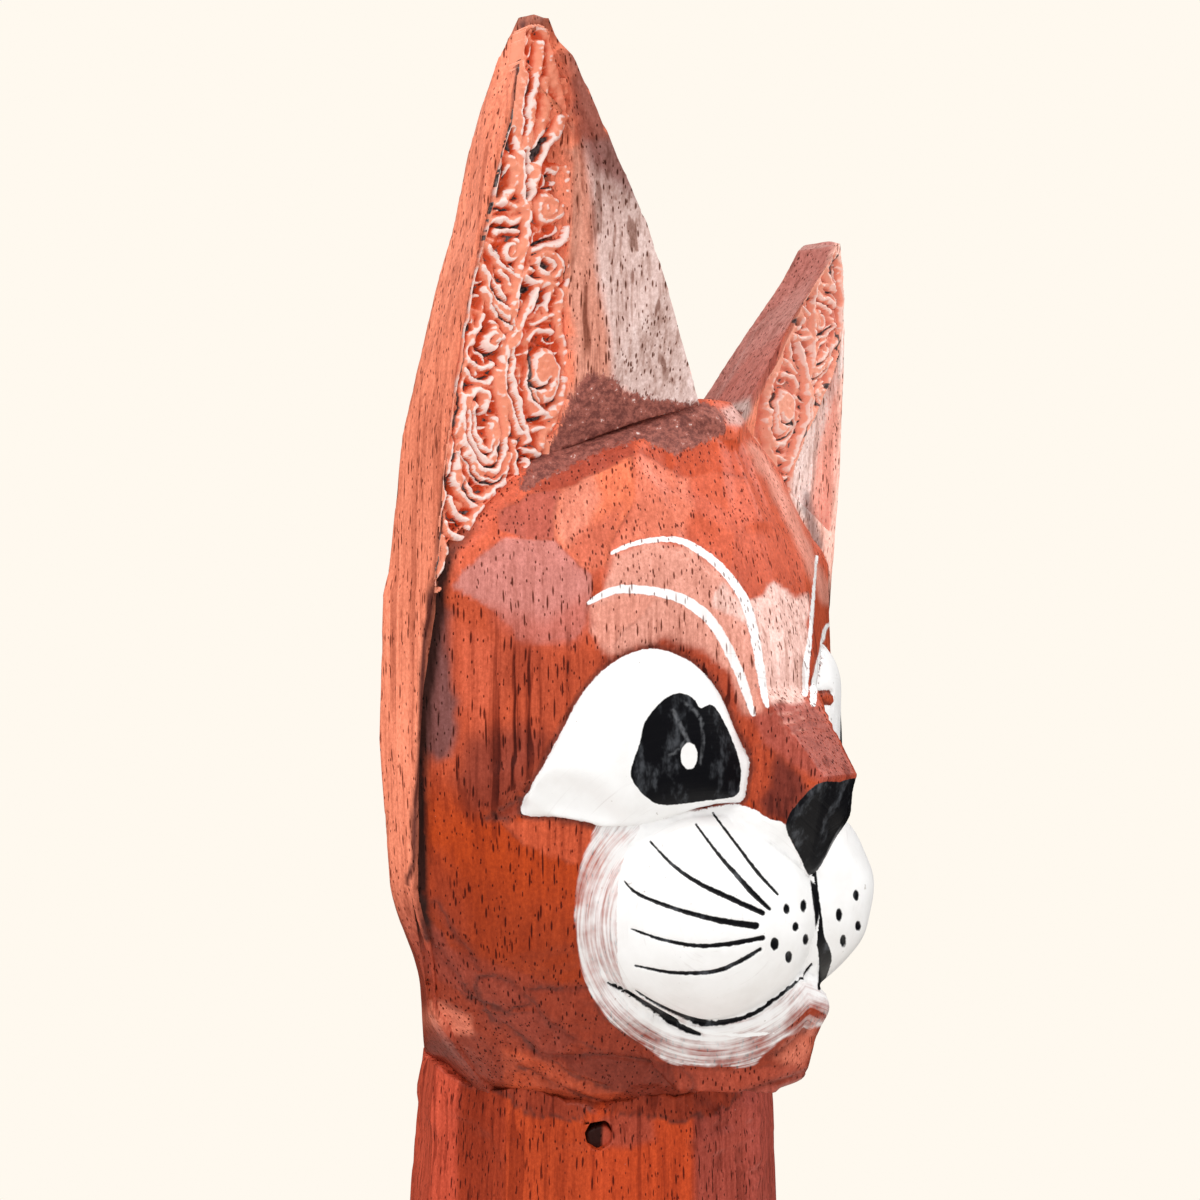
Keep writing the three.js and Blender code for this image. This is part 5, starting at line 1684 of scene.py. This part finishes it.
def make_carving(node, name, corners, finish):
    outline = on_seam(np.array(corners, dtype=float))[:, [0, 2]]
    body, flat, margin = trimmed_grid(outline)
    spots = np.empty((len(flat), 3))
    spots[:, 0] = flat[:, 0]
    spots[:, 2] = flat[:, 1]
    spots[:, 1] = -(SEAM_FORWARD + SEAM_SLOPE * (flat[:, 1] - HEAD_BASE))
    place, _ = on_sheet(turned_over(spots))
    rise, soot = relief_of(place)
    inner = ramp(margin, -0.2, 0.5)
    rise = inner * rise + (1 - inner) * 0.05
    spots[:, 1] -= rise
    for vert, spot in zip(body.verts, spots):
        vert.co = spot * MM
    rim = [e for e in body.edges if e.is_boundary]
    made = bmesh.ops.extrude_edge_only(body, edges=rim)["geom"]
    skirt = [v for v in made if isinstance(v, bmesh.types.BMVert)]
    bmesh.ops.translate(body, verts=skirt, vec=(0, SKIRT_DEPTH * MM, 0))
    bmesh.ops.recalc_face_normals(body, faces=body.faces)
    piece = new_piece(name, body)
    rise = np.append(rise, np.zeros(len(skirt)))
    soot = np.append(soot, np.zeros(len(skirt)))
    # Painted shade in the hollows beside the ridges and a painted highlight on their crests, from
    # how far the relief lies below or above its surroundings
    over = rise - rubbed_even(piece.data, rise, 14)
    soot = np.maximum(soot, 0.9 * ramp(-over, 0.16, 0.36))
    crest = ramp(over, 0.0, 0.24)
    keep_values(piece, "relief", np.stack((ramp(rise, -1.4, 0.3), soot, crest), 1))
    shade_smooth(piece)
    piece.data.materials.append(finish)
    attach(piece, "root")
    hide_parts(node)


# Body and tail
# Worn places of the neck: a patch by the hole, the ragged joint and the chips
NECK_PATCH = [(601, 1118), (625, 1112), (652, 1116), (655, 1140), (630, 1148), (604, 1146)]
NECK_RAGGED = [
    (495, 1088), (512, 1100), (535, 1115), (556, 1116), (575, 1119), (590, 1113), (604, 1112),
    (640, 1117), (673, 1119), (713, 1115), (740, 1098), (700, 1070), (600, 1070), (500, 1060),
]
NECK_CHIPS = [(684, 1112), (765, 1100), (768, 1180), (735, 1186), (690, 1150)]
# Where each facet of the neck begins on the sheet, and its tone: stain with the painted light and
# shade of that facet
NECK_FACETS_STAIN_AND_LIGHT = [
    (300, (0.68, 0.1, 0.05)), (458, (0.34, 0.04, 0.014)), (505, (0.46, 0.056, 0.014)),
    (590, (0.56, 0.068, 0.017)), (695, (0.36, 0.062, 0.04)), (745, (0.37, 0.066, 0.045)),
]


# Middle of the peg's hole on the sheet
NECK_HOLE = (598, 1131)
# Levels in mm: the flat foot below which nothing is cut, the end of the knife facets, where the
# mesh gets finer, and where the rim and the lip of the neck's top begin and end
FOOT_LEVEL = 2.5
KNIFE_LEVEL = 228
FINE_LEVELS = (214, 228)
RIM_LEVELS = (229.5, 235)
LIP_LEVELS = (232.2, 234.8)


def streak_marks(count, streaks):
    """Marks of a piece that has streaks alone."""
    marks = np.zeros((count, 3))
    marks[:, 1] = streaks
    return marks


def chips_of(spots):
    """Small upright chips, about 0."""
    return wobble(spots * (1, 1, 1.8), 1.8, 18)


def cut_body(piece):
    """Knife facets on the body, and a finer mesh where the neck is seen."""
    mesh = piece.data
    spots = spots_of(mesh)
    keep = (spots[:, 2] > FOOT_LEVEL) & (spots[:, 2] < KNIFE_LEVEL)
    spots = knife_facets(spots, normals_of(mesh), count=300, sink=0.3, reach=8.0, seed=7, keep=keep)
    set_spots(mesh, spots)
    for level in FINE_LEVELS:
        toward = normals_of(mesh) @ TO_EYE
        refine(piece, (spots_of(mesh)[:, 2] > level) & (toward > 0.05))


def shape_neck(spots, ways, place, rough):
    """Waves and chips on the body, and the ragged lip of the neck under the jaw."""
    waves = 0.08 * wobble(spots, 6.0, 13) * (spots[:, 2] > FOOT_LEVEL)
    spots = spots - ways * waves[:, None]
    spots = spots - ways * (0.3 * rough * chips_of(spots))[:, None]
    away = np.linalg.norm(spots[:, :2], axis=1)
    inset = (0.1 + 0.3 * wobble(spots, 3.0, 16)) * ramp(spots[:, 2], *RIM_LEVELS) * (away > 8)
    spots[:, :2] -= spots[:, :2] * (inset / np.maximum(away, 1))[:, None]
    hole = np.linalg.norm(place - NECK_HOLE, axis=1)
    lift = ramp(spots[:, 2], *LIP_LEVELS) * (away > 6) * ramp(hole, 16, 26)
    spots[:, 2] += (1.3 + 1.1 * wobble(spots, 3.0, 19) + 0.4 * wobble(spots, 1.2, 24)) * lift
    spots[:, :2] -= spots[:, :2] * (0.35 * lift / np.maximum(away, 1))[:, None]
    slide(spots, -0.62 * ramp(-place[:, 0], -500, -435) * ramp(spots[:, 2], 196, 222))
    return spots


def body_stain(spots, ways, rough):
    """Stain of the body, with the facets of the neck in tones that hold painted light and shade,
    its ragged lip and its chips.
    """
    place, _ = on_sheet(spots)
    stain = new_stain(len(spots), CHEEK_STAIN)
    stain = zone(stain, 0.5 + 0.5 * wobble(spots, 25, 14), TEMPLE_STAIN)
    neck = ramp(spots[:, 2], 200, 218) * ramp(ways @ TO_EYE, -0.3, 0)
    across = place[:, 0] + 5 * wobble(spots * (1, 1, 0.3), 4.0, 20)
    # Painted light and shade, facet by facet, with the stain
    for start, tone in NECK_FACETS_STAIN_AND_LIGHT:
        stain = zone(stain, neck * ramp(across, start - 5, start + 5), tone)
    stain = zone(stain, neck * patch(place, NECK_PATCH, 5), BRICK_STAIN)
    jagged = place + 5 * np.stack((wobble(place, 9, 51), wobble(place, 7, 52)), 1)
    stain = zone(stain, neck * patch(jagged, NECK_RAGGED, 2), RUSSET_STAIN)
    edge = knife_edge(jagged / 1.6, np.array(NECK_RAGGED) / 1.6)
    stain = zone(stain, 0.8 * neck * edge, DARK_STAIN_AND_SHADE)
    return zone(stain, 0.5 * rough * ramp(chips_of(spots), 0.1, 0.6), UMBER_STAIN_AND_SHADE)


def make_body():
    piece = carved_block("body_block", "carved_body", depth=8, fill=0.95)
    cut_body(piece)
    mesh = piece.data
    spots = spots_of(mesh)
    ways = normals_of(mesh)
    place, _ = on_sheet(spots)
    rough = patch(place, NECK_CHIPS, 8) * ramp(ways @ TO_EYE, 0, 0.2)
    spots = shape_neck(spots, ways, place, rough)
    set_spots(mesh, spots)
    keep_values(piece, "stain", body_stain(spots, ways, rough))
    keep_values(piece, "marks", streak_marks(len(spots), 0.45))
    shade_smooth(piece)
    mesh.materials.append(stained_finish("waxed_body"))
    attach(piece, "root")
    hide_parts("body_block")


def make_peg():
    """The end of the neck peg, stained over, with painted shade of the gap round it on one side."""
    piece = worn_block("neck_peg", "pressed_peg", size=0.2)
    spots = spots_of(piece.data)
    place, _ = on_sheet(spots)
    out = place - place.mean(axis=0)
    size = np.maximum(np.linalg.norm(out, axis=1), 1e-6)
    swell = 0.5 * ramp(out[:, 0], -4, 4)
    slide(spots, swell * out[:, 0] / size)
    spots[:, 2] -= swell * out[:, 1] / size
    set_spots(piece.data, spots)
    stain = new_stain(len(spots), BRICK_STAIN)
    # Painted shade of the gap beside the peg
    stain = zone(stain, ramp(-place[:, 0], -602, -599), SEAM_STAIN_AND_GAP_SHADE)
    keep_values(piece, "stain", stain)
    keep_values(piece, "marks", streak_marks(len(spots), 0.0))
    shade_smooth(piece)
    piece.data.materials.append(bpy.data.materials["waxed_body"])
    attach(piece, "root")
    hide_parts("neck_peg")


def make_tail():
    piece = carved_block("tail", "carved_tail", depth=7, fill=0.95)
    mesh = piece.data
    spots = knife_facets(spots_of(mesh), normals_of(mesh), count=90, sink=0.3, reach=6.0, seed=9)
    set_spots(mesh, spots)
    stain = new_stain(len(spots), CHEEK_STAIN)
    stain = zone(stain, 0.5 + 0.5 * wobble(spots, 20, 15), TEMPLE_STAIN)
    keep_values(piece, "stain", stain)
    keep_values(piece, "marks", streak_marks(len(spots), 0.6))
    shade_smooth(piece)
    mesh.materials.append(bpy.data.materials["waxed_body"])
    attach(piece, "root")
    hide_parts("tail")


make_face()
make_ears()
make_carving("right_ear_carving", "right_flowers", PANEL, carved_finish("carved_flowers", 0.0))
# The left carving takes a share of painted sheen
make_carving("left_ear_carving", "left_flowers", LEFT_PANEL, carved_finish("sheened_flowers", 0.4))
make_body()
make_peg()
make_tail()


def give_finish(node, finish):
    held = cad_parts[node].data.materials
    held.clear()
    held.append(finish)


birch = plain_finish("birch_dowel", BIRCH, 0.4)
for node in ("neck_dowel", "right_face_dowel", "left_face_dowel", "tail_dowel"):
    give_finish(node, birch)


# Floor, light and camera
CREAM = (1.0, 0.947, 0.863)
TABLE_TONE = (0.82, 0.78, 0.71)
TENT_TONE = (0.004, 0.004, 0.004)
SOFT_TONE = (1, 0.99, 0.98)
SOFT_LEVEL = 0.42
# In metres: the table's and the tent's half widths, and the middle of the head
TABLE_RADIUS = 0.4
TENT_RADIUS = 0.62
HEAD = (0, 0, 0.285)
# Length of the lens in mm, and how far the picture lies above its middle, as a share of its width
LENS = 45.9
PICTURE_SHIFT = 20 / 1200


def make_floor():
    body = bmesh.new()
    bmesh.ops.create_circle(body, cap_ends=True, radius=TABLE_RADIUS, segments=96)
    floor = new_piece("pale_table", body)
    made, _, shader = finish_start("pale_table")
    shader.inputs["Base Color"].default_value = (*TABLE_TONE, 1)
    shader.inputs["Roughness"].default_value = 0.8
    floor.data.materials.append(made)


def make_dark_tent():
    """A dark round wall that only shines show, so that waxed faces stay deep in colour."""
    body = bmesh.new()
    bmesh.ops.create_cone(body, segments=48, radius1=TENT_RADIUS, radius2=TENT_RADIUS, depth=1.0)
    tent = new_piece("dark_tent", body)
    tent.location = (0, 0, 0.05)
    made, _, shader = finish_start("dark_tent")
    shader.inputs["Base Color"].default_value = (*TENT_TONE, 1)
    shader.inputs["Roughness"].default_value = 1.0
    shader.inputs["Specular IOR Level"].default_value = 0.0
    tent.data.materials.append(made)
    tent.visible_camera = False
    tent.visible_diffuse = False
    tent.visible_shadow = False


def softbox(name, place, side, level, mirrored=True):
    """A square lamp that is turned to the head."""
    lamp = bpy.data.lights.new(name, "AREA")
    lamp.shape = "RECTANGLE"
    lamp.size = side
    lamp.size_y = side
    lamp.energy = level * math.pi * side * side
    box = bpy.data.objects.new(name, lamp)
    box.location = place
    box.rotation_euler = (Vector(HEAD) - Vector(place)).to_track_quat("-Z", "Y").to_euler()
    box.visible_camera = False
    box.visible_glossy = mirrored
    bpy.context.collection.objects.link(box)


def make_world():
    world = bpy.data.worlds.new("cream_studio")
    bpy.context.scene.world = world
    world.use_nodes = True
    tree = world.node_tree
    tree.nodes.clear()
    out = add(tree, "ShaderNodeOutputWorld")
    seen = add(tree, "ShaderNodeBackground")
    seen.inputs["Color"].default_value = (*CREAM, 1)
    seen.inputs["Strength"].default_value = 1.0
    soft = add(tree, "ShaderNodeBackground")
    soft.inputs["Color"].default_value = (*SOFT_TONE, 1)
    soft.inputs["Strength"].default_value = SOFT_LEVEL
    rays = add(tree, "ShaderNodeLightPath")
    shown = sum_of(tree, "MAXIMUM", rays.outputs["Is Camera Ray"], rays.outputs["Is Glossy Ray"])
    shown = sum_of(tree, "MAXIMUM", shown, rays.outputs["Is Transmission Ray"])
    pick = add(tree, "ShaderNodeMixShader")
    link(tree, shown, pick.inputs[0])
    link(tree, soft.outputs[0], pick.inputs[1])
    link(tree, seen.outputs[0], pick.inputs[2])
    link(tree, pick.outputs[0], out.inputs["Surface"])


make_floor()
make_dark_tent()
make_world()
softbox("left_box", (-0.32, -0.02, 0.70), side=0.42, level=3.0)
softbox("right_box", (0.32, -0.26, 0.62), side=0.36, level=3.5)
softbox("fill_box", (-0.42, -0.40, 0.32), side=0.55, level=1.9, mirrored=False)
softbox("far_box", (0.42, -0.42, 0.34), side=0.5, level=0.85, mirrored=False)

camera = bpy.data.objects.new("camera", bpy.data.cameras.new("camera"))
camera.data.sensor_width = 36
camera.data.lens = LENS
camera.data.shift_y = PICTURE_SHIFT
camera.data.clip_start = 0.01
camera.location = (-EYE_DISTANCE * DIAGONAL * MM, -EYE_DISTANCE * DIAGONAL * MM, EYE_HEIGHT * MM)
camera.rotation_euler = (math.pi / 2, 0, -math.pi / 4)
bpy.context.collection.objects.link(camera)
bpy.context.scene.camera = camera
bpy.context.scene.view_settings.view_transform = "Standard"
